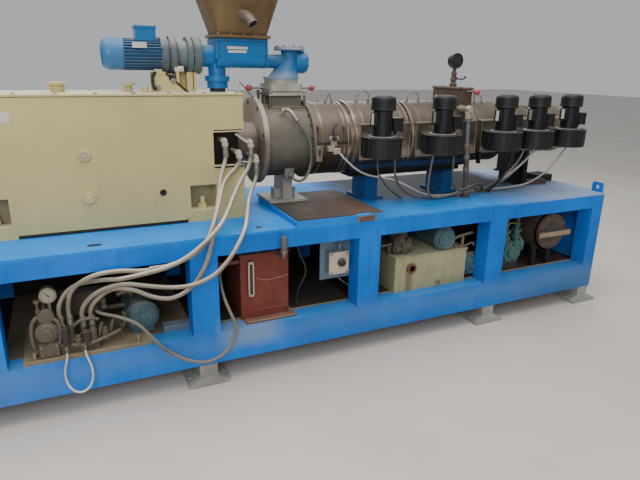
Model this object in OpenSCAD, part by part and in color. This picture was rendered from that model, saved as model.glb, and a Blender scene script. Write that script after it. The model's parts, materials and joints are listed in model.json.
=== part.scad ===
// Plastic extruder: a welded bed in five bays carries a gearbox with its drive, a heated and
// air-cooled barrel, and a feeder with a hopper. Pumps and tanks stand in the bays.
// X runs along the machine towards the outlet, Y to the rear and Z up. The origin lies on the
// floor under the middle of the bed.

/* [Bed] */
// Depth of the bed over its front and rear faces
bed_d = 935; // [860:5:1100]
// Height of the deck above the floor
deck_z = 730; // [700:5:850]
// Clearance between the floor and the bottom rails
foot_h = 106; // [96:2:130]
// Height of the bottom rails
bottom_rail_h = 155; // [120:5:180]
// Height of the top rails
top_rail_h = 80; // [60:5:100]
// Depth of the rails and posts
rail_d = 100; // [80:5:120]
// Thickness of the deck plate
deck_t = 12; // [8:1:20]
// Thickness of the floor plates in the bays
bay_floor_t = 6; // [4:1:12]
// Width of the posts between two bays
post_w = 125; // [100:5:150]
// Width of the post at each end
end_post_w = 90; // [80:5:125]
// Width of the first bay, at the drive end
bay_1_w = 720; // [600:5:800]
// Width of the second bay, with the pump unit
bay_2_w = 750; // [720:5:850]
// Width of the third bay, with the oil tank
bay_3_w = 725; // [700:5:850]
// Width of the fourth bay, with the water tank
bay_4_w = 720; // [715:5:850]
// Width of the fifth bay, at the outlet end
bay_5_w = 690; // [680:5:850]

/* [Deck] */
// Length of the raised pad under the feed throat
pad_l = 480; // [420:5:600]
// Height of the raised pad
pad_h = 27; // [15:1:40]
// Distance of the pad from the drive end of the bed
pad_from_end = 2194; // [2150:2:2300]
// Thickness of the bare plate on the pad
pad_plate_t = 6; // [3:1:12]

/* [Gearbox] */
// Distance of the gearbox from the drive end of the bed
gear_from_end = 740; // [735:5:760]
// Length of the gearbox case
gear_l = 1290; // [1280:5:1300]
// Width of the gearbox case
gear_w = 388; // [360:2:420]
// Height of the top of the case above the floor
gear_top_z = 1328; // [1300:2:1340]
// Height of the shaft and barrel centre line above the floor
axis_z = 1081; // [1075:1:1090]

/* [Barrel] */
// Radius of the big barrel covers
cover_r = 194; // [180:1:200]
// Radius of the cover on the third cooled zone
cover_mid_r = 178; // [165:1:180]
// Radius of the covers on the last two zones
cover_end_r = 148; // [140:1:152]
// Wall of the barrel covers
cover_t = 4; // [2:0.5:8]
// Radius of the barrel itself
barrel_r = 92; // [85:1:100]
// Radius of the barrel bore at the outlet
bore_r = 60; // [40:1:65]
// Depth of the open bore at the outlet
bore_l = 160; // [80:5:240]
// Radius of the outlet flange
outlet_r = 146; // [140:1:152]
// Thickness of the outlet flange
outlet_t = 38; // [25:1:50]
// Radius of the outlet flange's bolt circle
outlet_pitch_r = 120; // [115:1:125]
// Number of bolt holes in the outlet flange
outlet_holes = 8; // [6:1:12]
// Radius of the bolt holes in the outlet flange
outlet_hole_r = 9; // [6:0.5:10]

/* [Cooling blowers] */
// Radius of a blower's scroll case where it starts
scroll_r = 98; // [90:1:104]
// Height of a blower's scroll case
scroll_h = 100; // [90:2:120]
// Distance of the blower axes in front of the centre line
blower_y = 342; // [338:1:350]
// Height of the underside of the scroll cases above the floor
scroll_z = 1020; // [1010:1:1030]
// Radius of a blower motor's body
blower_motor_r = 46; // [38:1:52]
// Height of a blower motor from scroll case to top
blower_motor_h = 200; // [170:5:210]

/* [Feeder and hopper] */
// Height of the feeder's centre line above the floor
feeder_z = 1493; // [1490:1:1496]
// Radius of the feeder motor's body over its fins
feeder_motor_r = 69; // [62:1:72]
// Number of cooling fins round the feeder motor
feeder_fins = 28; // [20:2:36]
// Length of the feed box under the hopper
feed_box_l = 247; // [230:1:260]
// Width of the feed box under the hopper
feed_box_w = 150; // [140:2:170]
// Wall of the hopper
hopper_t = 3; // [2:0.5:5]
// Radius of the hopper at its rim
hopper_r = 300; // [250:5:350]
// Height of the hopper's sloping part
hopper_cone_h = 450; // [400:10:550]
// Height of the hopper's straight part
hopper_rim_h = 120; // [60:10:200]

/* [Drive] */
// Radius of the drive motor's body over its fins
drive_r = 190; // [170:5:200]
// Length of the drive motor's body
drive_l = 520; // [480:5:540]
// Number of cooling fins round the drive motor
drive_fins = 40; // [32:2:48]

/* [Hidden] */
$fn = 64;
eps = 0.01;
// Clearance between a turned or pressed piece and what it sits in
seat = 0.3;

// Bed, from the drive end
bay_w = [bay_1_w, bay_2_w, bay_3_w, bay_4_w, bay_5_w];
bays = len(bay_w);
function total(v, n) = n <= 0 ? 0 : v[n - 1] + total(v, n - 1);
bed_l = total(bay_w, bays) + (bays - 1) * post_w + 2 * end_post_w;
bed_x = -bed_l / 2;
// Drive-end edge of a bay, counted from 0
function bay_x(i) = bed_x + end_post_w + i * post_w + total(bay_w, i);
// Drive-end edge and width of a post, counted from 0
function post_x(i) = i == 0 ? bed_x : bay_x(i - 1) + bay_w[i - 1];
function post_width(i) = i == 0 || i == bays ? end_post_w : post_w;
front_y = -bed_d / 2;
bottom_rail_z = foot_h + bottom_rail_h;
top_rail_z = deck_z - deck_t - top_rail_h;
bay_floor_z = bottom_rail_z;

// Machine line
gear_x = bed_x + gear_from_end;
gear_end_x = gear_x + gear_l;
gear_front_y = -gear_w / 2;
neck_l = 102;
neck_r = 95;
flange_r = 219;
flange_t = 24;
throat_x = gear_end_x + neck_l + flange_t;
throat_l = 242;
throat_r = 187;
throat_flange_r = 206;
throat_flange_t = 16;
barrel_x = throat_x + throat_l + throat_flange_t;
// Barrel zones: length and radius of each cover, and width of the ring after it
zone_l = [190, 328, 430, 235, 228, 258];
zone_r = [cover_r, cover_r, cover_r, cover_mid_r, cover_end_r, cover_end_r];
ring_w = [45, 25, 25, 22, 32];
zones = len(zone_l);
function zone_x(i) = barrel_x + total(zone_l, i) + total(ring_w, i);
barrel_end_x = zone_x(zones - 1) + zone_l[zones - 1] + outlet_t;
// Blowers: the cover each one cools, counted from 0, and its place along that cover
blower_zones = [1, 2, 3, 4, 5];
blower_along = [64, 86, 58, 48, 46];
function blower_x(k) = zone_x(blower_zones[k]) + blower_along[k];
scroll_top_z = scroll_z + scroll_h;
box_front_y = -(cover_r + 24);
box_z = 986;
box_h = 183;
box_deep = 54;

// Feed line above the throat
port_x = throat_x + 141;
port_plate_w = 200;
port_plate_t = 12;
port_plate_z = 1310;
neck_port_w = 160;
port_bore_r = 46;
gate_w = 178;
gate_z = port_plate_z + port_plate_t;
gate_h = 68;
chute_z = gate_z + gate_h;
chute_x = port_x + 46;
// Where the feed box's tube meets the chute's stub
chute_stub_x = chute_x - 112;
feed_box_x = throat_x - 84;
feed_box_z = feeder_z - 53;
feed_box_top_z = feeder_z + 84;
hopper_flange_t = 13;
hopper_z = feed_box_top_z + hopper_flange_t;
feeder_tube_r = 51;
chute_tube_r = 34;
feeder_flange_x = feed_box_x - feed_box_l / 2 - 70;
feeder_gear_x = feeder_flange_x - 183;
feeder_motor_x = feeder_gear_x - 163;
feeder_cowl_l = 90;

// A cylinder along X from x, centred on y, z
module bar_x(x, l, r, y = 0, z = axis_z, fn = 64)
  translate([x, y, z]) rotate([0, 90, 0]) cylinder(h = l, r = r, $fn = fn);

// A cylinder along Y from y towards the rear
module bar_y(x, y, z, l, r, fn = 48)
  translate([x, y, z]) rotate([-90, 0, 0]) cylinder(h = l, r = r, $fn = fn);

// A profile of [along, radius] points turned round an axis along X
module turned_x(x, z, profile)
  translate([x, 0, z]) rotate([0, 90, 0]) rotate_extrude()
    polygon([for (p = profile) [p[1], p[0]]]);

// A plate or block from two opposite corners
module block(a, b)
  translate(a) cube(b - a);

// Cross-section of a motor body with cooling fins
module fin_section(r, fins, depth, width) {
  circle(r - depth);
  for (i = [0 : fins - 1]) rotate(i * 360 / fins)
    translate([0, -width / 2]) square([r, width]);
}

module bed_rail(y, z, h)
  color("dodgerblue") block([bed_x, y, z], [bed_x + bed_l, y + rail_d, z + h]);

module bed_posts(y)
  color("dodgerblue") for (i = [0 : bays])
    block([post_x(i), y, bottom_rail_z], [post_x(i) + post_width(i), y + rail_d, top_rail_z]);

// Sheets that close the bays at the rear
back_panel_t = 3;
module bay_back_panels()
  color("midnightblue") for (i = [0 : bays - 1])
    block([bay_x(i) - 20, -front_y - rail_d - back_panel_t, bay_floor_z],
          [bay_x(i) + bay_w[i] + 20, -front_y - rail_d, top_rail_z]);

cross_w = 80;
module bed_cross_members()
  color("royalblue") for (i = [0 : bays]) let (x = post_x(i) + (post_width(i) - cross_w) / 2) {
    block([x, front_y + rail_d, foot_h], [x + cross_w, -front_y - rail_d, bay_floor_z - bay_floor_t]);
    block([x, front_y + rail_d, top_rail_z], [x + cross_w, -front_y - rail_d, deck_z - deck_t]);
  }

// Slotted holes and the cable hole through the deck
deck_slot_x = bed_x + 1312;
deck_slot_y = front_y + 70;
cable_hole_x = zone_x(3) + 130;
cable_hole_y = -130;
cable_hole_r = 45;
module bed_deck()
  color("deepskyblue") difference() {
    block([bed_x, front_y, deck_z - deck_t], [bed_x + bed_l, -front_y, deck_z]);
    for (x = [deck_slot_x - 15, deck_slot_x + 15])
      translate([x, deck_slot_y, deck_z - 2 * deck_t]) cylinder(h = 3 * deck_t, r = 12);
    block([deck_slot_x - 15, deck_slot_y - 12, deck_z - 2 * deck_t],
          [deck_slot_x + 15, deck_slot_y + 12, deck_z + deck_t]);
    translate([cable_hole_x, cable_hole_y, deck_z - 2 * deck_t])
      cylinder(h = 3 * deck_t, r = cable_hole_r);
  }

pad_x = bed_x + pad_from_end;
pad_w = 560;
module deck_pad()
  color("dodgerblue") block([pad_x, front_y, deck_z], [pad_x + pad_l, front_y + pad_w, deck_z + pad_h]);

pad_top_z = deck_z + pad_h;
notch_w = 90;
notch_d = 22;
module deck_plate()
  color("saddlebrown") difference() {
    block([pad_x + 8, front_y + 6, pad_top_z],
          [pad_x + pad_l - 6, front_y + pad_w - 8, pad_top_z + pad_plate_t]);
    block([pad_x + pad_l - 160, front_y, pad_top_z - eps],
          [pad_x + pad_l - 160 + notch_w, front_y + 6 + notch_d, pad_top_z + 2 * pad_plate_t]);
  }

// Levelling foot: a plate with sloping wings, a block and a jacking bolt
foot_l = 198;
foot_w = 150;
wing_h = 14;
wedge_h = 44;
foot_block_w = 84;
foot_block_h = foot_h - wedge_h;
foot_posts = [0, 2, 4, 5];
foot_y = front_y + 58;
module levelling_foot()
  union() {
    rotate([90, 0, 0]) linear_extrude(foot_w, center = true)
      polygon([[-foot_l / 2, 0], [foot_l / 2, 0], [foot_l / 2, wing_h], [foot_block_w / 2, wedge_h],
               [-foot_block_w / 2, wedge_h], [-foot_l / 2, wing_h]]);
    translate([-foot_block_w / 2, -rail_d / 2, wedge_h - eps])
      cube([foot_block_w, rail_d, foot_block_h + eps]);
    translate([-foot_block_w / 2 - 26, -12, wing_h]) cube([foot_l - foot_block_w - 52, 24, 26]);
  }
module levelling_feet()
  color("slategray") for (i = foot_posts, s = [-1, 1])
    translate([post_x(i) + post_width(i) / 2, s * foot_y, 0]) levelling_foot();

module bay_floor_plates()
  color("tan") for (i = [0 : bays - 1])
    block([bay_x(i) - 20, front_y + rail_d, bay_floor_z - bay_floor_t],
          [bay_x(i) + bay_w[i] + 20, -front_y - rail_d, bay_floor_z]);

lug_l = 76;
lug_h = 60;
lug_t = 12;
lug_hole_r = 14;
lug_inset = 12;
module lifting_lug()
  difference() {
    union() {
      translate([0, -lug_l / 2, 0]) cube([lug_t, lug_l, lug_h - lug_l / 2 + 14]);
      translate([0, 0, lug_h - lug_l / 2 + 14]) rotate([0, 90, 0])
        intersection() {
          cylinder(h = lug_t, r = lug_l / 2);
          translate([-24, -lug_l / 2, 0]) cube([24, lug_l, lug_t]);
        }
    }
    translate([-lug_t, 0, lug_h / 2]) rotate([0, 90, 0]) cylinder(h = 3 * lug_t, r = lug_hole_r);
  }
module lifting_lugs()
  color("dodgerblue") for (x = [bed_x + lug_inset, bed_x + bed_l - lug_inset - lug_t], s = [-1, 1])
    translate([x, s * (front_y + lug_l / 2 + 6), deck_z]) lifting_lug();

// Gearbox case: a slot between its feet, hold-down pockets, and the hose recess at the outlet end
case_slot_h = 15;
case_foot_l = 285;
pocket_w = 126;
pocket_h = 121;
pocket_z = deck_z + 56;
pocket_in = 141;
pocket_d = 70;
recess_l = 150;
recess_h = 158;
recess_z = deck_z + 267;
recess_d = 110;
module gearbox_housing()
  color("darkkhaki") difference() {
    union() {
      block([gear_x, gear_front_y, deck_z], [gear_end_x, -gear_front_y, gear_top_z - 8]);
      block([gear_x - 4, gear_front_y - 4, gear_top_z - 8], [gear_end_x + 4, -gear_front_y + 4, gear_top_z]);
    }
    block([gear_x + case_foot_l, gear_front_y - 1, deck_z - 1],
          [gear_end_x - case_foot_l, -gear_front_y + 1, deck_z + case_slot_h]);
    for (x = [gear_x + pocket_in, gear_end_x - pocket_in - pocket_w], s = [-1, 1])
      translate([x, s > 0 ? -gear_front_y - pocket_d : gear_front_y - 1, pocket_z])
        cube([pocket_w, pocket_d + 1, pocket_h]);
    block([gear_end_x - recess_l, gear_front_y - 1, recess_z],
          [gear_end_x + 1, gear_front_y + recess_d, recess_z + recess_h]);
  }

module case_boss(x, z, r, l)
  bar_y(gear_x + x, gear_front_y - l, z, l, r);

// Four hose elbows, two in the recess and two on the neck: place along, up to the leg's end
elbow_r = 12;
elbow_out = 20;
elbow_leg = 22;
elbows = [[-97.5, 1090], [-29.5, 1030], [28.5, 1080], [54.5, 1005]];
elbow_y = gear_front_y - elbow_out;
module hose_elbow(e) {
  z = e[1] + elbow_leg;
  back_y = e[0] < 0 ? gear_front_y + recess_d : -neck_r * 0.7;
  difference() {
    union() {
      bar_y(gear_end_x + e[0], elbow_y, z, back_y - elbow_y, elbow_r - 2);
      bar_y(gear_end_x + e[0], elbow_y + 16, z, 12, elbow_r + 5, 6);
      translate([gear_end_x + e[0], elbow_y, z]) sphere(r = elbow_r);
      translate([gear_end_x + e[0], elbow_y, e[1]]) cylinder(h = elbow_leg, r = elbow_r);
      translate([gear_end_x + e[0], elbow_y, e[1]]) cylinder(h = 12, r = elbow_r + 4, $fn = 6);
    }
    bar_x(gear_end_x + 1, neck_l, neck_r + seat);
  }
}
module gearbox_fittings()
  color("silver") {
    for (e = elbows) hose_elbow(e);
    case_boss(578, axis_z - 9, 23, 10);
    case_boss(580, deck_z + 157, 25, 12);
    case_boss(896, deck_z + 157, 15, 6);
    case_boss(1010, deck_z + 40, 12, 16);
    for (x = [gear_x + pocket_in + pocket_w / 2, gear_end_x - pocket_in - pocket_w / 2], s = [-1, 1])
      translate([x, s * (gear_front_y + pocket_d / 2), pocket_z]) {
        cylinder(h = 26, r = 22, $fn = 6);
        cylinder(h = 60, r = 12);
      }
  }

top_lid_x = 506;
module gearbox_top_fittings()
  color("beige") translate([gear_x, 0, gear_top_z]) {
    translate([top_lid_x, 0, 0]) {
      cylinder(h = 32, r = 30);
      translate([0, 0, 32 - eps]) cylinder(h = 12, r = 46);
    }
    translate([805, 0, 0]) {
      cylinder(h = 30, r = 16);
      translate([0, 0, 30 - eps]) cylinder(h = 10, r = 30);
    }
    translate([870, -60, 0]) cylinder(h = 24, r = 14, $fn = 6);
  }

module output_flange()
  color("gray") turned_x(gear_end_x, axis_z,
    [[0, 0], [0, neck_r + 12], [14, neck_r], [neck_l, neck_r], [neck_l, flange_r],
     [neck_l + flange_t, flange_r], [neck_l + flange_t, 0]]);

// Drive motor at the free end of the gearbox
guard_l = 86;
drive_end_x = gear_x - guard_l;
drive_x = drive_end_x - drive_l;
module drive_motor()
  color("steelblue") union() {
    translate([drive_x, 0, axis_z]) rotate([0, 90, 0])
      translate([0, 0, 90]) linear_extrude(drive_l - 150) fin_section(drive_r, drive_fins, 22, 6);
    turned_x(drive_x, axis_z, [[0, 0], [0, drive_r - 50], [10, drive_r - 34], [24, drive_r - 28],
      [92, drive_r - 18], [92, 0]]);
    turned_x(drive_x + drive_l - 62, axis_z, [[0, 0], [0, drive_r - 8], [34, drive_r - 8],
      [40, drive_r - 30], [62, drive_r - 60], [62, 0]]);
    translate([drive_x + 180, -75, axis_z + drive_r - 32]) cube([190, 150, 112]);
  }

drive_foot_l = 380;
drive_base_z = axis_z - drive_r + 10;
module drive_motor_base()
  color("dodgerblue") difference() {
    block([drive_x + 70, -drive_r, deck_z], [drive_x + 70 + drive_foot_l, drive_r, axis_z - 90]);
    bar_x(drive_x, drive_l, drive_r + seat);
    block([drive_x, -drive_r + 40, deck_z + 30], [drive_x + drive_l, drive_r - 40, drive_base_z - 40]);
  }

module coupling_guard()
  color("goldenrod") difference() {
    union() {
      bar_x(drive_end_x, guard_l, 120);
      block([drive_end_x, -120, deck_z], [gear_x, 120, axis_z]);
    }
    block([drive_end_x - 1, -100, deck_z - 1], [gear_x + 1, 100, axis_z - 130]);
  }

// Feed throat: a water-jacketed casting with the feed port on top
shoulder_w = 200;
shoulder_z = axis_z + throat_r - 14;
module feed_throat()
  color("dimgray") difference() {
    union() {
      turned_x(throat_x, axis_z, [[0, 0], [0, throat_r], [throat_l, throat_r],
        [throat_l, throat_flange_r], [throat_l + throat_flange_t, throat_flange_r],
        [throat_l + throat_flange_t, 0]]);
      block([port_x - neck_port_w / 2, -neck_port_w / 2, axis_z],
            [port_x + neck_port_w / 2, neck_port_w / 2, port_plate_z]);
      block([port_x - shoulder_w / 2, -shoulder_w / 2, axis_z],
            [port_x + shoulder_w / 2, shoulder_w / 2, shoulder_z]);
    }
    translate([port_x, 0, axis_z]) cylinder(h = port_plate_z, r = port_bore_r);
  }

stud_in = 92;
stud_r = 6;
module feed_port_plate()
  color("lightgray") difference() {
    union() {
      block([port_x - port_plate_w / 2, -port_plate_w / 2, port_plate_z],
            [port_x + port_plate_w / 2, port_plate_w / 2, gate_z]);
      for (x = [-1, 1], y = [-1, 1])
        translate([port_x + x * stud_in, y * stud_in, shoulder_z])
          cylinder(h = port_plate_z - shoulder_z + 1, r = stud_r);
    }
    translate([port_x, 0, port_plate_z - 1]) cylinder(h = port_plate_t + 2, r = port_bore_r);
  }

// A square plate with round corners
module round_plate(w, r, h) {
  translate([-w / 2 + r, -w / 2, 0]) cube([w - 2 * r, w, h]);
  translate([-w / 2, -w / 2 + r, 0]) cube([w, w - 2 * r, h]);
  for (x = [-1, 1], y = [-1, 1]) translate([x * (w / 2 - r), y * (w / 2 - r), 0]) cylinder(h = h, r = r);
}

// Slide gate: a base plate, the blade's guide and a round flange for the chute
blade_h = 8;
gate_base_h = 12;
gate_flange_h = 22;
gate_mid_z = gate_z + gate_base_h + 12;
module slide_gate()
  color("darkgray") difference() {
    union() {
      translate([port_x, 0, gate_z]) round_plate(gate_w - 14, 20, gate_base_h);
      translate([port_x, 0, gate_z + gate_base_h - eps])
        round_plate(gate_w, 26, gate_h - gate_base_h - gate_flange_h + eps);
      translate([port_x, 0, chute_z - gate_flange_h - eps])
        cylinder(h = gate_flange_h + eps, r = gate_w / 2 - 2);
    }
    for (x = [port_x - gate_w / 2, port_x + gate_w / 2])
      block([x - 6, -gate_w / 2 + 32, gate_mid_z - blade_h / 2],
            [x + 6, gate_w / 2 - 32, gate_mid_z + blade_h / 2]);
    translate([port_x, 0, gate_z - 1]) cylinder(h = gate_h + 2, r = port_bore_r);
  }

handle_out = 174;
knob_r = 17;
module gate_handles()
  color("crimson") {
    for (s = [-1, 1]) translate([port_x, 0, gate_mid_z]) rotate([0, 90 * s, 0]) {
      translate([0, 0, gate_w / 2 - 6]) cylinder(h = handle_out - gate_w / 2 - 6, r = 6);
      translate([0, 0, handle_out]) sphere(r = knob_r);
    }
    bar_x(vent_x - 8, 70, 5, vent_front_y - 12, vent_top_z - 18);
    bar_y(vent_x, vent_front_y - 12, vent_top_z - 18, 22, 4);
    translate([vent_x + 62, vent_front_y - 12, vent_top_z - 20]) sphere(r = 19);
  }

support_x = throat_x + 150;
support_plate_t = 12;
support_z = pad_top_z + pad_plate_t;
module throat_support()
  color("slategray") difference() {
    union() {
      block([support_x - 115, -110, support_z], [support_x + 95, 110, support_z + support_plate_t]);
      block([support_x - 26, -70, support_z + support_plate_t - eps],
            [support_x + 26, 70, axis_z - throat_r + 30]);
      block([support_x - 60, -30, support_z + support_plate_t - eps], [support_x + 60, 30, support_z + 60]);
    }
    bar_x(throat_x - 1, throat_l + 2, throat_r + seat);
  }

// Feeder: a finned motor, a reduction gear between flanges, and the metering screw's tube
module feeder_motor()
  color("steelblue") union() {
    translate([feeder_motor_x, 0, feeder_z]) rotate([0, 90, 0])
      linear_extrude(feeder_gear_x - feeder_motor_x) fin_section(feeder_motor_r, feeder_fins, 10, 4);
    turned_x(feeder_motor_x - feeder_cowl_l, feeder_z, [[0, 0], [0, feeder_motor_r - 22],
      [4, feeder_motor_r - 12], [14, feeder_motor_r - 4], [30, feeder_motor_r],
      [feeder_cowl_l, feeder_motor_r], [feeder_cowl_l, 0]]);
  }

tbox_l = 88;
module feeder_terminal_box()
  color("dodgerblue") difference() {
    union() {
      block([feeder_motor_x + 58, -36, feeder_z + feeder_motor_r - 24],
            [feeder_motor_x + 58 + tbox_l, 36, feeder_z + feeder_motor_r + 44]);
      block([feeder_motor_x + 54, -40, feeder_z + feeder_motor_r + 44 - eps],
            [feeder_motor_x + 62 + tbox_l, 40, feeder_z + feeder_motor_r + 54]);
    }
    bar_x(feeder_motor_x - 1, 200, feeder_motor_r + seat, 0, feeder_z);
  }

module feeder_gearbox()
  color("slategray") turned_x(feeder_gear_x, feeder_z, [[0, 0], [0, 72], [22, gear_flange_r],
    [30, gear_flange_r], [30, 70], [38, 70], [38, gear_flange_r], [66, gear_flange_r], [72, 74],
    [74, 56], [112, 66], [116, 66], [118, gear_out_r], [140, gear_out_r], [140, 72], [146, 72],
    [146, gear_flange_r], [183, gear_flange_r], [183, 0]]);

spout_x = feed_box_x - feed_box_l / 2 + 15;
// Radius of the feed box's lower edges
trough_r = 38;
module feeder_body()
  color("dodgerblue") difference() {
    union() {
      bar_x(feeder_flange_x, 80, feeder_tube_r, 0, feeder_z);
      block([feed_box_x - feed_box_l / 2, -feed_box_w / 2, feed_box_z + trough_r],
            [feed_box_x + feed_box_l / 2, feed_box_w / 2, feed_box_top_z]);
      block([feed_box_x - feed_box_l / 2, -feed_box_w / 2 + trough_r, feed_box_z],
            [feed_box_x + feed_box_l / 2, feed_box_w / 2 - trough_r, feed_box_z + trough_r + 1]);
      for (s = [-1, 1])
        bar_x(feed_box_x - feed_box_l / 2, feed_box_l, trough_r,
              s * (feed_box_w / 2 - trough_r), feed_box_z + trough_r);
      bar_x(feed_box_x + feed_box_l / 2 - 1, chute_stub_x - seat - feed_box_x - feed_box_l / 2 + 1,
            chute_tube_r, 0, feeder_z - 18);
      translate([spout_x, 0, 0]) {
        translate([0, 0, gear_top_z + 50]) cylinder(h = feeder_z - gear_top_z - 50, r = 42);
        translate([0, 0, gear_top_z + 50]) cylinder(h = 24, r = 60);
        translate([0, 0, gear_top_z + 17]) cylinder(h = 34, r = 50);
        translate([0, 0, gear_top_z]) cylinder(h = 18, r = 35);
      }
    }
    block([feed_box_x - feed_box_l / 2 + 16, -feed_box_w / 2 + 14, feeder_z - 20],
          [feed_box_x + feed_box_l / 2 - 16, feed_box_w / 2 - 14, feed_box_top_z + 1]);
  }

chute_r = 43;
chute_top_z = feeder_z + 51;
module feeder_chute()
  color("dodgerblue") union() {
    translate([port_x, 0, chute_z]) cylinder(h = 10, r = 92);
    hull() {
      translate([chute_x - 33, 0, chute_z + 10 - eps]) cylinder(h = 2, r = chute_r + 33, $fn = 40);
      translate([chute_x, 0, feeder_z - 8]) cylinder(h = 2, r = chute_r, $fn = 40);
    }
    translate([chute_x, 0, feeder_z - 40]) cylinder(h = chute_top_z - feeder_z + 40, r = chute_r);
    translate([chute_x, 0, chute_top_z - 16]) cylinder(h = 18, r = 78);
    bar_x(chute_stub_x, chute_x - chute_stub_x, chute_tube_r, 0, feeder_z - 18);
    bar_x(chute_x, 40, 40, 0, feeder_z - 18);
    turned_x(chute_x + 22, feeder_z - 21, [[0, 0], [0, 50], [6, 55], [56, 55], [66, 50], [70, 40], [70, 0]]);
  }

bracket_x = gear_x + 905;
gear_flange_r = 82;
gear_out_r = 84;
bracket_t = 12;
module feeder_bracket()
  color("beige") difference() {
    union() {
      for (y = [-62, 50]) translate([bracket_x, y + bracket_t, gear_top_z]) rotate([90, 0, 0])
        linear_extrude(bracket_t) polygon([[10, 0], [154, 0], [154, 6], [58, 92], [10, 86]]);
      block([bracket_x + 10, -62, gear_top_z], [bracket_x + 154, 62, gear_top_z + 8]);
      block([bracket_x + 110, -62, gear_top_z], [bracket_x + 110 + bracket_t, 62, feeder_z - 60]);
      block([bracket_x + 110, 0, gear_top_z], [bracket_x + 164, bracket_t, feeder_z - 60]);
      bar_y(bracket_x + 88, -56, gear_top_z + 64, 112, 17);
      block([bracket_x + 154 - eps, -40, gear_top_z], [bracket_x + 206, 40, gear_top_z + 8]);
      block([bracket_x + 162, -40, gear_top_z], [bracket_x + 190, 40, feeder_z - 60]);
      block([bracket_x + 195, -40, gear_top_z], [bracket_x + 206, 40, feeder_z - 60]);
    }
    bar_x(feeder_gear_x - 1, 75, gear_flange_r + seat, 0, feeder_z);
    bar_x(feeder_gear_x + 110, 80, gear_out_r + seat, 0, feeder_z);
  }

// Hopper: a square mouth that opens to a round rim
hopper_l = feed_box_l - 8;
hopper_w = feed_box_w + 20;
module hopper_cone(inset)
  hull() {
    translate([feed_box_x - hopper_l / 2 + inset, -hopper_w / 2 + inset, hopper_z - eps])
      cube([hopper_l - 2 * inset, hopper_w - 2 * inset, 1]);
    translate([feed_box_x, 0, hopper_z + hopper_cone_h])
      cylinder(h = 1, r = hopper_r - inset, $fn = 64);
  }
stub_z = hopper_z + 95;
stub_y = -(hopper_w / 2 + 92);
module hopper()
  color("burlywood") difference() {
    union() {
      block([feed_box_x - feed_box_l / 2 - 12, -feed_box_w / 2 - 24, feed_box_top_z],
            [feed_box_x + feed_box_l / 2 + 12, feed_box_w / 2 + 24, hopper_z]);
      hopper_cone(0);
      translate([feed_box_x, 0, hopper_z + hopper_cone_h]) cylinder(h = hopper_rim_h, r = hopper_r);
      translate([feed_box_x, 0, hopper_z + hopper_cone_h + hopper_rim_h - 12])
        cylinder(h = 12, r = hopper_r + 12);
      translate([feed_box_x + 6, -hopper_w / 2 + 20, stub_z]) rotate([104, 0, 0])
        cylinder(h = 92, r = 30);
    }
    hopper_cone(hopper_t);
    translate([feed_box_x, 0, hopper_z + hopper_cone_h])
      cylinder(h = hopper_rim_h + 1, r = hopper_r - hopper_t);
    block([feed_box_x - hopper_l / 2 + 20, -hopper_w / 2 + 24, feed_box_top_z - 1],
          [feed_box_x + hopper_l / 2 - 20, hopper_w / 2 - 24, hopper_z + 5]);
    translate([feed_box_x + 6, -hopper_w / 2 + 20, stub_z]) rotate([104, 0, 0])
      translate([0, 0, -30]) cylinder(h = 130, r = 25);
  }

// Barrel with the outlet flange, bored at the outlet
module barrel()
  color("gray") difference() {
    union() {
      bar_x(barrel_x, barrel_end_x - barrel_x, barrel_r);
      bar_x(barrel_end_x - outlet_t, outlet_t, outlet_r);
    }
    bar_x(barrel_end_x - bore_l, bore_l + 1, bore_r);
    for (i = [0 : outlet_holes - 1]) let (a = (i + 0.5) * 360 / outlet_holes)
      bar_x(barrel_end_x - outlet_t - 1, outlet_t + 2, outlet_hole_r,
            outlet_pitch_r * cos(a), axis_z + outlet_pitch_r * sin(a), 32);
  }

// A sheet cover with a web at each end, open towards the barrel
module barrel_cover(i)
  turned_x(zone_x(i), axis_z, [[0, barrel_r + seat], [0, zone_r[i]], [zone_l[i], zone_r[i]],
    [zone_l[i], barrel_r + seat], [zone_l[i] - cover_t, barrel_r + seat],
    [zone_l[i] - cover_t, zone_r[i] - cover_t], [cover_t, zone_r[i] - cover_t],
    [cover_t, barrel_r + seat]]);
module barrel_covers()
  color("silver") for (i = [0 : zones - 1]) barrel_cover(i);

// Rings between the covers: a raised band on each side of a groove
module barrel_ring(i, r)
  turned_x(zone_x(i) + zone_l[i], axis_z, [[0, barrel_r + seat], [0, r + 2], [ring_w[i] * 0.2, r + 2],
    [ring_w[i] * 0.2, r - 14], [ring_w[i] * 0.7, r - 14], [ring_w[i] * 0.7, r + 4],
    [ring_w[i], r + 4], [ring_w[i], barrel_r + seat]]);
module barrel_rings()
  color("dimgray") for (i = [0 : zones - 2]) barrel_ring(i, min(zone_r[i], zone_r[i + 1]));

module cooling_boxes()
  color("silver") for (k = [0 : len(blower_zones) - 1]) let (i = blower_zones[k])
    difference() {
      block([zone_x(i) + 6, box_front_y, box_z],
            [zone_x(i) + zone_l[i] - 6, -zone_r[i] + box_deep, box_z + box_h]);
      bar_x(zone_x(i), zone_l[i], zone_r[i] + seat);
    }

// Beam under the barrel, shaped to the covers
beam_x = barrel_x + 230;
beam_end_x = zone_x(3) - 22;
beam_w = 300;
beam_web_w = 200;
beam_z = 872;
module barrel_beam()
  color("dodgerblue") difference() {
    union() {
      block([beam_x, -beam_w / 2, beam_z + 34], [beam_end_x, beam_w / 2, axis_z - cover_r + 79]);
      block([beam_x + 20, -beam_web_w / 2, beam_z], [beam_end_x - 20, beam_web_w / 2, beam_z + 35]);
    }
    bar_x(beam_x - 1, beam_end_x - beam_x + 2, cover_r + 4 + seat);
  }

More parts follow.
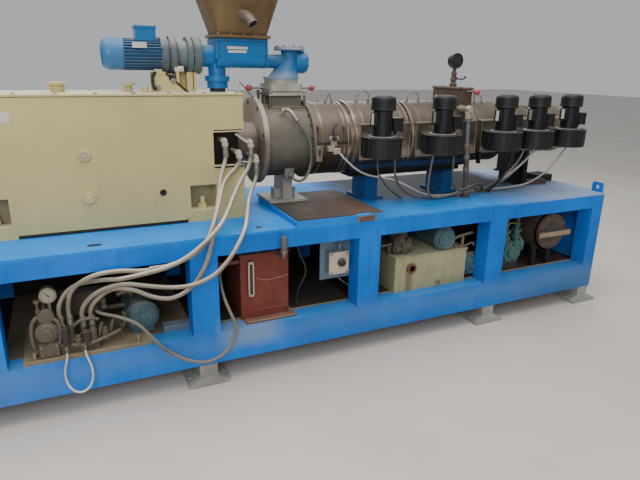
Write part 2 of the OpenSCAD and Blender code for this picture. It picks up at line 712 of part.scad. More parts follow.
stand_x = zone_x(4) + zone_l[4];
stand_w = ring_w[4];
module barrel_stands()
  color("dimgray") {
    for (x = [zone_x(1) + 130, zone_x(2) + 310]) {
      block([x, -80, deck_z], [x + 80, 80, beam_z]);
      block([x - 30, -95, deck_z], [x + 110, 95, deck_z + 14]);
    }
    difference() {
      union() {
        block([stand_x + stand_w / 2 - 40, -80, deck_z], [stand_x + stand_w / 2 + 40, 80, deck_z + 130]);
        block([stand_x, -110, deck_z], [stand_x + stand_w, 110, axis_z - cover_end_r + 40]);
      }
      bar_x(stand_x - 70, 180, cover_end_r + 4 + seat);
    }
    block([barrel_end_x - 140, -60, deck_z], [barrel_end_x - 6, 60, deck_z + 45]);
  }

// Blowers: a scroll case that blows into the cooling box, and a motor standing on it
scroll_turns = 40;
scroll_grow = 9;
duct_w = 84;
module scroll_outline(grow = 0)
  union() {
    polygon([for (i = [0 : scroll_turns]) let (a = 90 - 360 * i / scroll_turns, r = scroll_r + grow
      + scroll_grow * i / scroll_turns) [r * cos(a), r * sin(a)]]);
  }
module blower_scrolls()
  color("black") for (k = [0 : len(blower_zones) - 1])
    translate([blower_x(k), -blower_y, scroll_z]) {
      linear_extrude(scroll_h) scroll_outline();
      translate([0, 0, scroll_h - 5]) linear_extrude(5) scroll_outline(4);
      translate([-duct_w / 2, 0, 8]) cube([duct_w, blower_y + box_front_y, scroll_h - 16]);
    }

motor_cowl_r = blower_motor_r + 16;
motor_cowl_h = 70;
module blower_motor()
  union() {
    cylinder(h = 10, r = blower_motor_r + 8);
    linear_extrude(blower_motor_h - motor_cowl_h + 10) fin_section(blower_motor_r + 2, 16, 3, 5);
    translate([0, 0, blower_motor_h - motor_cowl_h]) rotate_extrude()
      polygon([[0, 0], [motor_cowl_r - 4, 0], [motor_cowl_r, 4], [motor_cowl_r, motor_cowl_h - 16],
        [motor_cowl_r - 4, motor_cowl_h - 6], [motor_cowl_r - 12, motor_cowl_h], [0, motor_cowl_h]]);
  }
module blower_motors()
  color("black") for (k = [0 : len(blower_zones) - 1])
    translate([blower_x(k), -blower_y, scroll_top_z]) blower_motor();

small_box_w = 58;
small_box_h = 66;
module blower_terminal_boxes()
  color("darkslategray") for (k = [0 : len(blower_zones) - 1])
    translate([blower_x(k) + blower_motor_r + 2 + seat, -blower_y - small_box_w / 2, scroll_top_z + 26])
      cube([52, small_box_w, small_box_h]);

// Vent box that saddles the third cover, and the pipe that draws from it
vent_x = zone_x(2) + 365;
vent_l = 80;
vent_front_y = -170;
vent_back_y = 94;
vent_top_z = 1350;
vent_z = 1175;
// A valve stem on the lid carries a vacuum gauge
vent_stem_y = -42;
vent_gauge_z = 1498;
module vent_stack()
  color("sienna") difference() {
    union() {
      block([vent_x - vent_l / 2, vent_front_y, vent_z], [vent_x + vent_l / 2, vent_back_y, vent_top_z - 8]);
      block([vent_x - vent_l / 2 - 4, vent_front_y - 4, vent_top_z - 8],
            [vent_x + vent_l / 2 + 4, vent_back_y + 4, vent_top_z]);
      translate([vent_x, vent_stem_y, vent_top_z - 1]) {
        cylinder(h = 13, r = 20);
        cylinder(h = vent_gauge_z - vent_top_z - 20, r = 11);
        translate([0, 0, 52]) cylinder(h = 34, r = 16, $fn = 6);
      }
      bar_y(vent_x, vent_stem_y - 15, vent_gauge_z, 30, 40);
    }
    bar_x(vent_x - vent_l, 2 * vent_l, cover_r + seat);
    bar_y(vent_x, vent_front_y - 1, vent_top_z - 18, 14, 4 + seat);
    bar_y(pipe_x, vent_front_y - 5, pipe_z, 30, pipe_r + seat);
  }

// The pipe leans a little towards the outlet on its way down to the deck
pipe_r = 13;
pipe_x = vent_x - 33;
pipe_y = vent_front_y - 70;
pipe_z = vent_top_z - 111;
pipe_lean = 4;
pipe_l = (pipe_z - deck_z) / cos(pipe_lean);
module vent_pipe()
  color("lightgray") union() {
    translate([pipe_x, pipe_y, pipe_z]) rotate([0, 180 - pipe_lean, 0]) {
      cylinder(h = pipe_l - 4, r = pipe_r);
      translate([0, 0, 22]) cylinder(h = 16, r = pipe_r + 3);
      translate([0, 0, 40]) cylinder(h = 28, r = pipe_r + 6, $fn = 8);
      translate([0, 0, 280]) cylinder(h = 34, r = pipe_r + 4, $fn = 8);
      translate([0, 0, 322]) cylinder(h = 22, r = pipe_r + 4, $fn = 6);
    }
    translate([pipe_x, pipe_y, pipe_z]) sphere(r = pipe_r + 8);
    bar_y(pipe_x, pipe_y, pipe_z, vent_front_y + 20 - pipe_y, pipe_r);
    bar_y(pipe_x, vent_front_y - 24, pipe_z, 20, pipe_r + 6);
    translate([pipe_x + (pipe_z - deck_z) * tan(pipe_lean), pipe_y, deck_z]) cylinder(h = 12, r = 30);
  }

// Pump unit in the second bay
skid_x = bay_x(1) + 55;
skid_l = 510;
skid_t = 12;
skid_top_z = bay_floor_z + skid_t;
module pump_skid()
  color("tan") union() {
    block([skid_x, front_y + 12, bay_floor_z], [skid_x + skid_l, front_y + 380, skid_top_z]);
    for (x = [skid_x + 40, skid_x + skid_l - 60])
      translate([x + 10, front_y + 22, skid_top_z - eps]) rotate([90, 0, -90])
        linear_extrude(10) polygon([[0, 0], [-60, 0], [0, 40]]);
  }

// Hose couplings on the valve unit: place from the skid's drive end
valve_y = front_y + 67.5;
couplings = [[157.5, 395], [192.5, 395], [242.5, 377], [277.5, 377]];
function coupling_x(i) = skid_x + couplings[i][0];
coupling_r = 14;
drain_y = valve_y - 80;
drain_legs = [[skid_x + 237.5, 306], [skid_x + 167.5, 306]];
module pump_valve_unit()
  color("gray") union() {
    block([skid_x + 66, valve_y - 40, skid_top_z], [skid_x + 141, valve_y + 50, skid_top_z + 70]);
    for (s = [[78, 0], [118, 0], [98, 32]]) translate([skid_x + s[0], valve_y + s[1], skid_top_z + 69]) {
      cylinder(h = 100, r = 17);
      translate([0, 0, 99]) cylinder(h = 26, r = 12, $fn = 6);
    }
    block([skid_x + 140, valve_y - 26, skid_top_z], [skid_x + 298, valve_y + 26, skid_top_z + 56]);
    for (i = [0 : 3]) translate([coupling_x(i), valve_y, skid_top_z + 55]) {
      cylinder(h = couplings[i][1] - skid_top_z - 55, r = coupling_r);
      cylinder(h = 20, r = coupling_r + 5, $fn = 6);
    }
    block([skid_x + 160, valve_y + 110, skid_top_z], [skid_x + 190, valve_y + 150, 486]);
    block([skid_x + 160, valve_y + 110, 386], [skid_x + 330, valve_y + 170, 486]);
    block([skid_x + 200, valve_y + 25, skid_top_z], [skid_x + 240, valve_y + 111, skid_top_z + 40]);
    bar_y(skid_x + 302.5, valve_y + 82, 430, 29, 12, 32);
    for (l = drain_legs) {
      bar_y(l[0], drain_y, l[1] + 12, valve_y - 26 - drain_y + 1, 7, 24);
      translate([l[0], drain_y, l[1] + 12]) sphere(r = 7, $fn = 24);
      translate([l[0], drain_y, l[1]]) cylinder(h = 12, r = 7, $fn = 24);
    }
  }

gauge_x = skid_x + 118;
gauge_z = 546;
module pressure_gauge()
  color("whitesmoke") union() {
    bar_y(gauge_x, valve_y - 22, gauge_z, 34, 31);
    translate([gauge_x, valve_y, skid_top_z + 194]) cylinder(h = gauge_z - skid_top_z - 194, r = 7);
  }

module small_motor(l, r, fins)
  union() {
    linear_extrude(l - 40) fin_section(r, fins, 7, 4);
    translate([0, 0, l - 41]) rotate_extrude()
      polygon([[0, 0], [r + 1, 0], [r + 1, 28], [r - 5, 38], [r - 14, 41], [0, 41]]);
    translate([0, 0, -12]) cylinder(h = 13, r = r + 3);
  }

oil_motor_x = bay_x(1) + 545;
module oil_pump_motor()
  color("teal") union() {
    translate([oil_motor_x, front_y + 300, 355]) rotate([90, 0, 0]) small_motor(200, 70, 24);
    block([oil_motor_x - 50, front_y + 120, skid_top_z], [oil_motor_x + 50, front_y + 260, 300]);
    bar_y(oil_motor_x, front_y + 311, 355, 60, 42);
  }

// Oil tank in the third bay, with its sight glass, valve and drip plate
tank_x = bay_x(2) + 126;
tank_l = 245;
tank_d = 260;
tank_y = front_y + 78;
tank_h = 338;
tank_t = 4;
// Where the return hose meets its elbow on the tank's side
return_in = [tank_x - 93.5, tank_y + 19.5, bay_floor_z + 279];
module oil_tank()
  color("maroon") union() {
    block([tank_x, tank_y, bay_floor_z + 6],
          [tank_x + tank_l, tank_y + tank_d, bay_floor_z + tank_h - tank_t]);
    block([tank_x - 8, tank_y - 8, bay_floor_z + tank_h - tank_t - eps],
          [tank_x + tank_l + 8, tank_y + tank_d + 8, bay_floor_z + tank_h]);
    block([tank_x + 10, tank_y - 50, bay_floor_z],
          [tank_x + tank_l + 30, tank_y + tank_d, bay_floor_z + 6 + eps]);
    block([tank_x + 32, tank_y - 10, bay_floor_z + 130], [tank_x + 64, tank_y + 1, bay_floor_z + 300]);
    translate([tank_x + 228, tank_y + 40, bay_floor_z + tank_h - eps]) cylinder(h = 34, r = 14);
    bar_x(return_in[0], tank_x + 1 - return_in[0], 9, return_in[1], return_in[2] + 20, 32);
    translate([0, 0, 20] + return_in) sphere(r = 11);
    translate(return_in) cylinder(h = 20, r = 11);
  }

// Mounting plate hung behind the top rail, with a box on it
panel_x = bay_x(2) + 554;
panel_y = front_y + rail_d;
panel_z = bay_floor_z + 140;
module valve_block()
  color("steelblue") union() {
    block([panel_x, panel_y, panel_z], [panel_x + 192, panel_y + 6, top_rail_z + 50]);
    block([panel_x + 27, panel_y - 63, panel_z + 48], [panel_x + 130, panel_y + 1, panel_z + 162]);
    bar_y(panel_x + 90, panel_y - 76, panel_z + 108, 14, 20);
    translate([panel_x + 96, panel_y - 30, panel_z + 161]) cylinder(h = 40, r = 9);
  }

// Water tank in the fourth bay with its pumps
water_x = bay_x(3) + 150;
water_l = 484;
water_d = 330;
water_h = 202;
module water_tank()
  color("beige") union() {
    block([water_x, tank_y, bay_floor_z], [water_x + water_l, tank_y + water_d, bay_floor_z + water_h]);
    block([water_x - 6, tank_y - 6, bay_floor_z + water_h - eps],
          [water_x + water_l + 6, tank_y + water_d + 6, bay_floor_z + water_h + 6]);
    bar_y(water_x + 102, tank_y - 16, bay_floor_z + 136, 17, 26);
    bar_y(water_x + 292, tank_y - 9, bay_floor_z + 30, 10, 15);
  }

water_top_z = bay_floor_z + water_h + 6;
water_motor_r = 66;
side_motor_r = 70;
module water_pumps()
  color("teal") {
    translate([water_x + water_l - 152, tank_y + 188, water_top_z + water_motor_r + 1 + seat])
      rotate([90, 0, 0]) small_motor(190, water_motor_r, 24);
    translate([water_x + water_l + side_motor_r + 4, front_y + rail_d + 190,
               bay_floor_z + side_motor_r + 14])
      rotate([90, 0, 0]) small_motor(180, side_motor_r, 24);
    block([water_x + water_l + 30, front_y + rail_d + 60, bay_floor_z],
          [water_x + water_l + 118, front_y + rail_d + 130, bay_floor_z + 26]);
    translate([water_x + 66, tank_y + 120, water_top_z]) {
      cylinder(h = 14, r = 52);
      cylinder(h = 58, r = 40);
      translate([0, 0, 57]) cylinder(h = 20, r = 24);
      translate([-36, -20, 76]) cube([104, 40, 34]);
      bar_y(52, -66, 32, 90, 15);
      bar_y(52, -72, 32, 10, 22);
    }
  }

// Vacuum pump and circulation pump in the fifth bay
vac_x = bay_x(4) + 436;
vac_r = 128;
vac_z = bay_floor_z + vac_r + 109;
module vacuum_pump()
  color("peru") union() {
    bar_y(vac_x, tank_y, vac_z, 250, vac_r);
    bar_y(vac_x, tank_y - 16, vac_z, 17, vac_r - 14);
    for (y = [tank_y + 40, tank_y + 190], x = [-1, 1])
      block([vac_x + x * 62 - 16, y, bay_floor_z], [vac_x + x * 62 + 16, y + 26, vac_z - vac_r + 34]);
    block([vac_x - 118, tank_y - 32, vac_z - 34], [vac_x + 150, tank_y - 15, vac_z + 6]);
  }

circ_x = bay_x(4) + 178;
circ_z = bay_floor_z + 120;
module circulation_pump()
  color("teal") union() {
    bar_y(circ_x, tank_y + 30, circ_z, 60, 66);
    bar_y(circ_x, tank_y + 18, circ_z, 14, 40);
    translate([circ_x, tank_y + 270, circ_z]) rotate([90, 0, 0]) small_motor(190, 62, 24);
    block([circ_x - 56, tank_y + 40, bay_floor_z], [circ_x + 56, tank_y + 230, circ_z - 40]);
    for (x = [-43, 43]) translate([circ_x + x, tank_y + 60, circ_z + 20]) {
      cylinder(h = 116, r = 20);
      translate([0, 0, 62]) cylinder(h = 12, r = 30);
      translate([0, 0, 104]) cylinder(h = 12, r = 30);
      translate([0, 0, 115]) cylinder(h = 84, r = 13);
      translate([0, 0, 140]) cylinder(h = 22, r = 18, $fn = 6);
    }
  }

// Hoses. Each route is a list of points from the gearbox recess to the pump unit, chosen by hand.
hose_r = 13.5;
return_r = 10;
drain_r = 6;
hose_1_route = [[-210, -214, 1090], [-210, -214, 1030], [-250, -260, 950], [-285, -335, 865],
  [-320, -415, 805], [-350, -480, 745], [-377, -502, 666], [-410, -500, 588], [-465, -492, 515],
  [-545, -478, 475], [-625, -458, 488], [-705, -435, 526], [-792, -415, 530], [-872, -400, 460],
  [-875, -400, 377]];
hose_2_route = [[-142, -214, 1030], [-142, -214, 985], [-224, -242, 892], [-256, -344, 872],
  [-312, -426, 851], [-350, -490, 785], [-402, -517, 712], [-478, -510, 660], [-567, -494, 631],
  [-658, -486, 623], [-750, -487, 636], [-850, -480, 628], [-935, -437, 566], [-960, -400, 480],
  [-960, -400, 395]];
hose_3_route = [[-84, -214, 1080], [-84, -214, 1025], [-150, -255, 938], [-212, -330, 870],
  [-265, -420, 830], [-324, -510, 793], [-400, -550, 740], [-478, -558, 687], [-560, -549, 649],
  [-660, -530, 625], [-752, -493, 603], [-832, -430, 586], [-936, -378, 553], [-995, -400, 485],
  [-995, -400, 395]];
hose_4_route = [[-58, -214, 1005], [-58, -214, 936], [-112, -266, 855], [-155, -360, 800],
  [-195, -455, 758], [-246, -516, 705], [-304, -537, 636], [-374, -537, 575], [-466, -524, 541],
  [-560, -502, 538], [-651, -480, 552], [-745, -454, 564], [-845, -430, 532], [-908, -402, 458],
  [-910, -400, 377]];
return_route = [[-850, -318, 430], [-850, -398, 430], [-768, -454, 416], [-697, -473, 378],
  [-649, -482, 316], [-602, -491, 252], [-539, -500, 197], [-473, -506, 160], [-403, -511, 146],
  [-333, -513, 172], [-282, -508, 232], [-268, -498, 296], [-283, -470, 352], [-297, -419, 410],
  [-300, -370, 476], [-300, -370, 540]];
drain_route = [[-915, -480, 306], [-912, -482, 275], [-898, -490, 225], [-900, -498, 170],
  [-925, -503, 128], [-965, -503, 125], [-996, -498, 165], [-1002, -490, 225], [-988, -482, 275],
  [-985, -480, 306]];

function unit(v) = v / norm(v);
function tangent(p, i) = unit(p[min(i + 1, len(p) - 1)] - p[max(i - 1, 0)]);
// A ring of points round the route, turned about a direction that the route never takes
function ring_at(p, i, r, sides, ref) =
  let (t = tangent(p, i), u = unit(cross(t, ref)), v = cross(t, u))
  [for (k = [0 : sides - 1]) p[i] + r * (cos(k * 360 / sides) * u + sin(k * 360 / sides) * v)];

// A tube of a given radius swept along a route
module hose(route, r, sides = 10, ref = [0, 1, 0]) {
  n = len(route);
  rings = [for (i = [0 : n - 1]) each ring_at(route, i, r, sides, ref)];
  walls = [for (i = [0 : n - 2], k = [0 : sides - 1]) let (k2 = (k + 1) % sides)
    [i * sides + k, i * sides + k2, (i + 1) * sides + k2, (i + 1) * sides + k]];
  polyhedron(rings, concat(walls, [[for (k = [0 : sides - 1]) sides - 1 - k]],
    [[for (k = [0 : sides - 1]) (n - 1) * sides + k]]));
}

bed_rail(front_y, top_rail_z, top_rail_h);  // bed_front_top_rail
bed_rail(front_y, foot_h, bottom_rail_h);  // bed_front_bottom_rail
bed_rail(-front_y - rail_d, top_rail_z, top_rail_h);  // bed_rear_top_rail
bed_rail(-front_y - rail_d, foot_h, bottom_rail_h);  // bed_rear_bottom_rail
bed_posts(front_y);  // bed_front_posts
bed_posts(-front_y - rail_d);  // bed_rear_posts
bed_cross_members();
bed_deck();
deck_pad();
deck_plate();
levelling_feet();
bay_floor_plates();
lifting_lugs();
gearbox_housing();
gearbox_fittings();
gearbox_top_fittings();
output_flange();
drive_motor();
drive_motor_base();
coupling_guard();
feed_throat();
feed_port_plate();
slide_gate();
gate_handles();
throat_support();
feeder_motor();
feeder_terminal_box();
feeder_gearbox();
feeder_body();
feeder_chute();
feeder_bracket();
hopper();
barrel();
barrel_covers();
barrel_rings();
cooling_boxes();
barrel_beam();
barrel_stands();
blower_scrolls();
blower_motors();
blower_terminal_boxes();
vent_stack();
vent_pipe();
pump_skid();
pump_valve_unit();
oil_pump_motor();
pressure_gauge();
oil_tank();
valve_block();
water_tank();
water_pumps();
vacuum_pump();
circulation_pump();
bay_back_panels();
color("gray") hose(hose_1_route, hose_r);  // hose_1
color("gray") hose(hose_2_route, hose_r);  // hose_2
color("gray") hose(hose_3_route, hose_r);  // hose_3
color("gray") hose(hose_4_route, hose_r);  // hose_4
color("gray") hose(return_route, return_r, ref = [1, 1, 0]);  // return_hose
color("white") hose(drain_route, drain_r, 8);  // drain_hose
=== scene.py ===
import bmesh
import bpy
import json
import math
import numpy as np
from mathutils import Matrix, Vector


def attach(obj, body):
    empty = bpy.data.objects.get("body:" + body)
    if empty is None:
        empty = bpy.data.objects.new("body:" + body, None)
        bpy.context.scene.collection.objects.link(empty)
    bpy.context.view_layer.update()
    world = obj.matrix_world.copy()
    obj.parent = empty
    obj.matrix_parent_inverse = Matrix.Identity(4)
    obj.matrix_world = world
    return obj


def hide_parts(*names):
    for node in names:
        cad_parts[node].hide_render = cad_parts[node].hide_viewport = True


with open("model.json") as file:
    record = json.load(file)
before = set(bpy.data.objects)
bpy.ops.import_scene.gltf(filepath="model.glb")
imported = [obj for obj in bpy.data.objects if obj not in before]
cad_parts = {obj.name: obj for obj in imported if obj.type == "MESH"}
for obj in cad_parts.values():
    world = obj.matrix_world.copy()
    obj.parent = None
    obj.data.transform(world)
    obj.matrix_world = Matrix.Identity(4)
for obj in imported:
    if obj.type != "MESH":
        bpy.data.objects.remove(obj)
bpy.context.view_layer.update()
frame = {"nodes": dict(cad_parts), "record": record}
nodes = frame["nodes"]
print("frame loaded,", len(nodes), "nodes")


# ---- camera, floor and light

cameraView = {"place": (-0.9026, -2.7424, 1.4573), "turn": 25.3, "down": 17.7, "roll": 1.0, "lens": 30.70}


def standCamera(s):
    turn, down, roll = (math.radians(s[k]) for k in ("turn", "down", "roll"))
    ahead = Vector((math.sin(turn) * math.cos(down), math.cos(turn) * math.cos(down), -math.sin(down)))
    right = Vector((math.cos(turn), -math.sin(turn), 0))
    up = right.cross(ahead)
    side = right * math.cos(roll) + up * math.sin(roll)
    over = up * math.cos(roll) - right * math.sin(roll)
    data = bpy.data.cameras.new("camera")
    data.lens, data.sensor_width, data.clip_start = s["lens"], 36.0, 0.05
    camera = bpy.data.objects.new("camera", data)
    turned = Matrix((side, over, -ahead)).transposed().to_4x4()
    camera.matrix_world = Matrix.Translation(s["place"]) @ turned
    bpy.context.scene.collection.objects.link(camera)
    bpy.context.scene.camera = camera


standCamera(cameraView)

lamps = {
    "overhead": {"place": (-0.4, -0.6, 5.2), "aim": (0.2, 0.0, 0.8), "size": (7.0, 4.5), "watts": 330, "tint": (1.0, 0.97, 0.93)},
    "front": {"place": (-2.6, -5.4, 3.2), "aim": (0.1, 0.0, 0.7), "size": (4.0, 3.0), "watts": 190, "tint": (1.0, 0.98, 0.96)},
    "rear": {"place": (2.5, 4.6, 3.4), "aim": (0.0, 0.0, 0.9), "size": (4.0, 2.5), "watts": 90, "tint": (0.95, 0.98, 1.0)},
}


def hangLamp(name, s):
    data = bpy.data.lights.new(name, "AREA")
    data.shape, data.size, data.size_y = "RECTANGLE", *s["size"]
    data.energy, data.color = s["watts"], s["tint"]
    lamp = bpy.data.objects.new(name, data)
    aim = Vector(s["aim"]) - Vector(s["place"])
    lamp.matrix_world = Matrix.Translation(s["place"]) @ aim.to_track_quat("-Z", "Y").to_matrix().to_4x4()
    bpy.context.scene.collection.objects.link(lamp)


for lampName, lampSet in lamps.items():
    hangLamp(lampName, lampSet)
world = bpy.data.worlds.new("soft room")
bpy.context.scene.world = world
world.use_nodes = True
world.node_tree.nodes["Background"].inputs["Color"].default_value = (0.86, 0.89, 0.93, 1)
world.node_tree.nodes["Background"].inputs["Strength"].default_value = 0.55


# ---- finishes

def hexColour(text):
    channels = np.array([int(text[i:i + 2], 16) for i in (0, 2, 4)]) / 255.0
    linear = np.where(channels <= 0.04045, channels / 12.92, ((channels + 0.055) / 1.055) ** 2.4)
    return (*linear.tolist(), 1.0)


class Finish:
    # a material's node tree, filled from the object's own coordinates outwards
    def __init__(self, name, roughness=0.5, metallic=0.0, coat=0.0, shine=0.5):
        self.material = bpy.data.materials.new(name)
        self.material.use_nodes = True
        self.tree = self.material.node_tree
        self.shader = self.tree.nodes["Principled BSDF"]
        self.shader.inputs["Roughness"].default_value = roughness
        self.shader.inputs["Metallic"].default_value = metallic
        self.shader.inputs["Coat Weight"].default_value = coat
        self.shader.inputs["Coat Roughness"].default_value = 0.25
        self.shader.inputs["Specular IOR Level"].default_value = shine
        self.coords = self.tree.nodes.new("ShaderNodeTexCoord")

    def add(self, kind, **settings):
        node = self.tree.nodes.new(kind)
        for key, value in settings.items():
            setattr(node, key, value)
        return node

    def join(self, source, target):
        self.tree.links.new(source, target)

    def scaled(self, scale):
        mapping = self.add("ShaderNodeMapping")
        mapping.inputs["Scale"].default_value = scale
        self.join(self.coords.outputs["Object"], mapping.inputs["Vector"])
        return mapping.outputs["Vector"]

    def noise(self, size, detail=4.0, stretch=(1, 1, 1), rough=0.55):
        node = self.add("ShaderNodeTexNoise")
        node.inputs["Scale"].default_value = 1.0
        node.inputs["Detail"].default_value = detail
        node.inputs["Roughness"].default_value = rough
        self.join(self.scaled(tuple(k / size for k in stretch)), node.inputs["Vector"])
        return node.outputs["Fac"]

    def band(self, value, low, high, top=1.0, bottom=0.0):
        node = self.add("ShaderNodeMapRange", clamp=True)
        for key, number in (("From Min", low), ("From Max", high), ("To Min", bottom), ("To Max", top)):
            node.inputs[key].default_value = number
        self.join(value, node.inputs["Value"])
        return node.outputs["Result"]

    def maths(self, kind, first, second):
        node = self.add("ShaderNodeMath", operation=kind)
        for socket, value in zip(node.inputs, (first, second)):
            if isinstance(value, (int, float)):
                socket.default_value = value
            else:
                self.join(value, socket)
        return node.outputs["Value"]

    def blend(self, share, under, over):
        node = self.add("ShaderNodeMix", data_type="RGBA")
        self.join(share, node.inputs[0])
        for socket, value in ((node.inputs[6], under), (node.inputs[7], over)):
            if isinstance(value, str):
                socket.default_value = hexColour(value)
            else:
                self.join(value, socket)
        return node.outputs[2]

    def facing(self, direction="Z"):
        geometry = self.add("ShaderNodeNewGeometry")
        split = self.add("ShaderNodeSeparateXYZ")
        self.join(geometry.outputs["Normal"], split.inputs[0])
        return split.outputs[direction]

    def place(self, direction):
        split = self.add("ShaderNodeSeparateXYZ")
        self.join(self.coords.outputs["Object"], split.inputs[0])
        return split.outputs[direction]

    def patched(self, tone, patches):
        # areas of another colour: each has a share, a ragged edge and ramps (direction, from, to),
        # and shows in full where all its ramps are up
        for colour, share, ragged, ramps in patches:
            shift = self.maths("MULTIPLY", self.maths("SUBTRACT", self.noise(0.14, 7, rough=0.68), 0.5), ragged * 4)
            for direction, low, high in ramps:
                share = self.maths("MULTIPLY", self.band(self.maths("ADD", self.place(direction), shift), low, high), share)
            tone = self.blend(share, tone, colour)
        return tone

    def colour(self, value):
        self.join(value, self.shader.inputs["Base Color"])

    def roughness(self, value):
        self.join(value, self.shader.inputs["Roughness"])

    def bump(self, value, strength=0.3, depth=0.001):
        node = self.add("ShaderNodeBump")
        node.inputs["Strength"].default_value = strength
        node.inputs["Distance"].default_value = depth
        self.join(value, node.inputs["Height"])
        self.join(node.outputs["Normal"], self.shader.inputs["Normal"])


# what a paint has where its row says nothing else
usualPaint = {"coat": 0.0, "shine": 0.5, "cloud": 0.35, "streaks": 0.3, "grime": 0.5, "chips": 0.7, "dustAndLightTop": 0.8, "dustAndLightLow": 0.3, "dustRough": 0.55, "dull": 0.62, "gloss": 0.32, "relief": 0.18, "patches": ()}


def paintFinish(name, s):
    # paint: cloudy tone, streaks down the sides, chips to rust, and a lighter top colour where it faces up: dust, and
    # in some rows painted light from above
    s = usualPaint | s
    base, shade, stain, dirt, dustAndTopLight, bare = s["colours"].split()
    f = Finish(name, coat=s["coat"], shine=s["shine"])
    tone = f.blend(f.band(f.noise(s["cloud"]), 0.35, 0.68), base, shade)
    streak = f.band(f.noise(0.035, 5, (1, 1, 0.12)), 0.56, 0.76, s["streaks"])
    tone = f.blend(streak, tone, stain)
    grime = f.band(f.noise(0.12, 8, rough=0.7), 0.52, 0.74, s["grime"])
    tone = f.blend(grime, tone, dirt)
    fleck = f.noise(0.022, 6, rough=0.72)
    edge = s["chips"]
    chip = f.band(fleck, edge, edge + 0.02)
    tone = f.blend(chip, tone, bare)
    up = f.band(f.facing(), 0.35, 0.95)
    film = f.band(f.noise(0.2, 7, rough=0.66), 0.3, 0.72, s["dustAndLightTop"], s["dustAndLightLow"])
    # upward faces blend to the top colour: dust, with painted top light where a row's top colour is the lit tone
    tone = f.blend(f.maths("MULTIPLY", up, film), tone, dustAndTopLight)
    f.colour(f.patched(tone, s["patches"]))
    gloss = f.band(f.noise(0.09, 6), 0.3, 0.75, s["dull"], s["gloss"])
    f.roughness(f.maths("MAXIMUM", gloss, f.maths("MULTIPLY", up, s["dustRough"])))
    f.bump(f.maths("SUBTRACT", f.maths("MULTIPLY", f.noise(0.006, 3), 0.25), f.maths("MULTIPLY", chip, 0.8)), s["relief"], 0.0006)
    return f.material


# the same for a metal
usualMetal = {"metallic": 0.8, "cloud": 0.16, "stainSize": 0.28, "stainRun": (1, 1, 0.6), "stains": 0.6, "spots": 0.68, "dustAndLightTop": 0.6, "dustAndLightLow": 0.15, "grain": 0.004, "grainRun": (1, 1, 1), "dull": 0.6, "gloss": 0.4, "relief": 0.15, "depth": 0.0004, "patches": ()}


def metalFinish(name, s):
    # bare metal: brushed or cast grain, cloudy stains, and a top colour where it faces up: dust, and on some parts
    # painted light from above
    s = usualMetal | s
    base, shade, stain, spot, dustAndTopLight = s["colours"].split()
    f = Finish(name, metallic=s["metallic"])
    tone = f.blend(f.band(f.noise(s["cloud"], 5), 0.33, 0.7), base, shade)
    soiled = f.band(f.noise(s["stainSize"], 7, s["stainRun"], 0.68), 0.5, 0.74, s["stains"])
    tone = f.blend(soiled, tone, stain)
    spots = f.band(f.noise(0.014, 5, rough=0.75), s["spots"], s["spots"] + 0.06, 0.8)
    tone = f.blend(spots, tone, spot)
    up = f.band(f.facing(), 0.3, 0.95)
    film = f.band(f.noise(0.11, 7, rough=0.66), 0.32, 0.72, s["dustAndLightTop"], s["dustAndLightLow"])
    cover = f.maths("MULTIPLY", up, film)
    # upward faces blend to the top colour: dust, with painted top light where a row's top colour is the lit tone
    f.colour(f.patched(f.blend(cover, tone, dustAndTopLight), s["patches"]))
    grain = f.noise(s["grain"], 3, s["grainRun"])
    gloss = f.band(grain, 0.3, 0.7, s["dull"], s["gloss"])
    f.roughness(f.maths("MAXIMUM", gloss, f.maths("MULTIPLY", f.maths("MAXIMUM", cover, soiled), 0.7)))
    f.bump(grain, s["relief"], s["depth"])
    return f.material


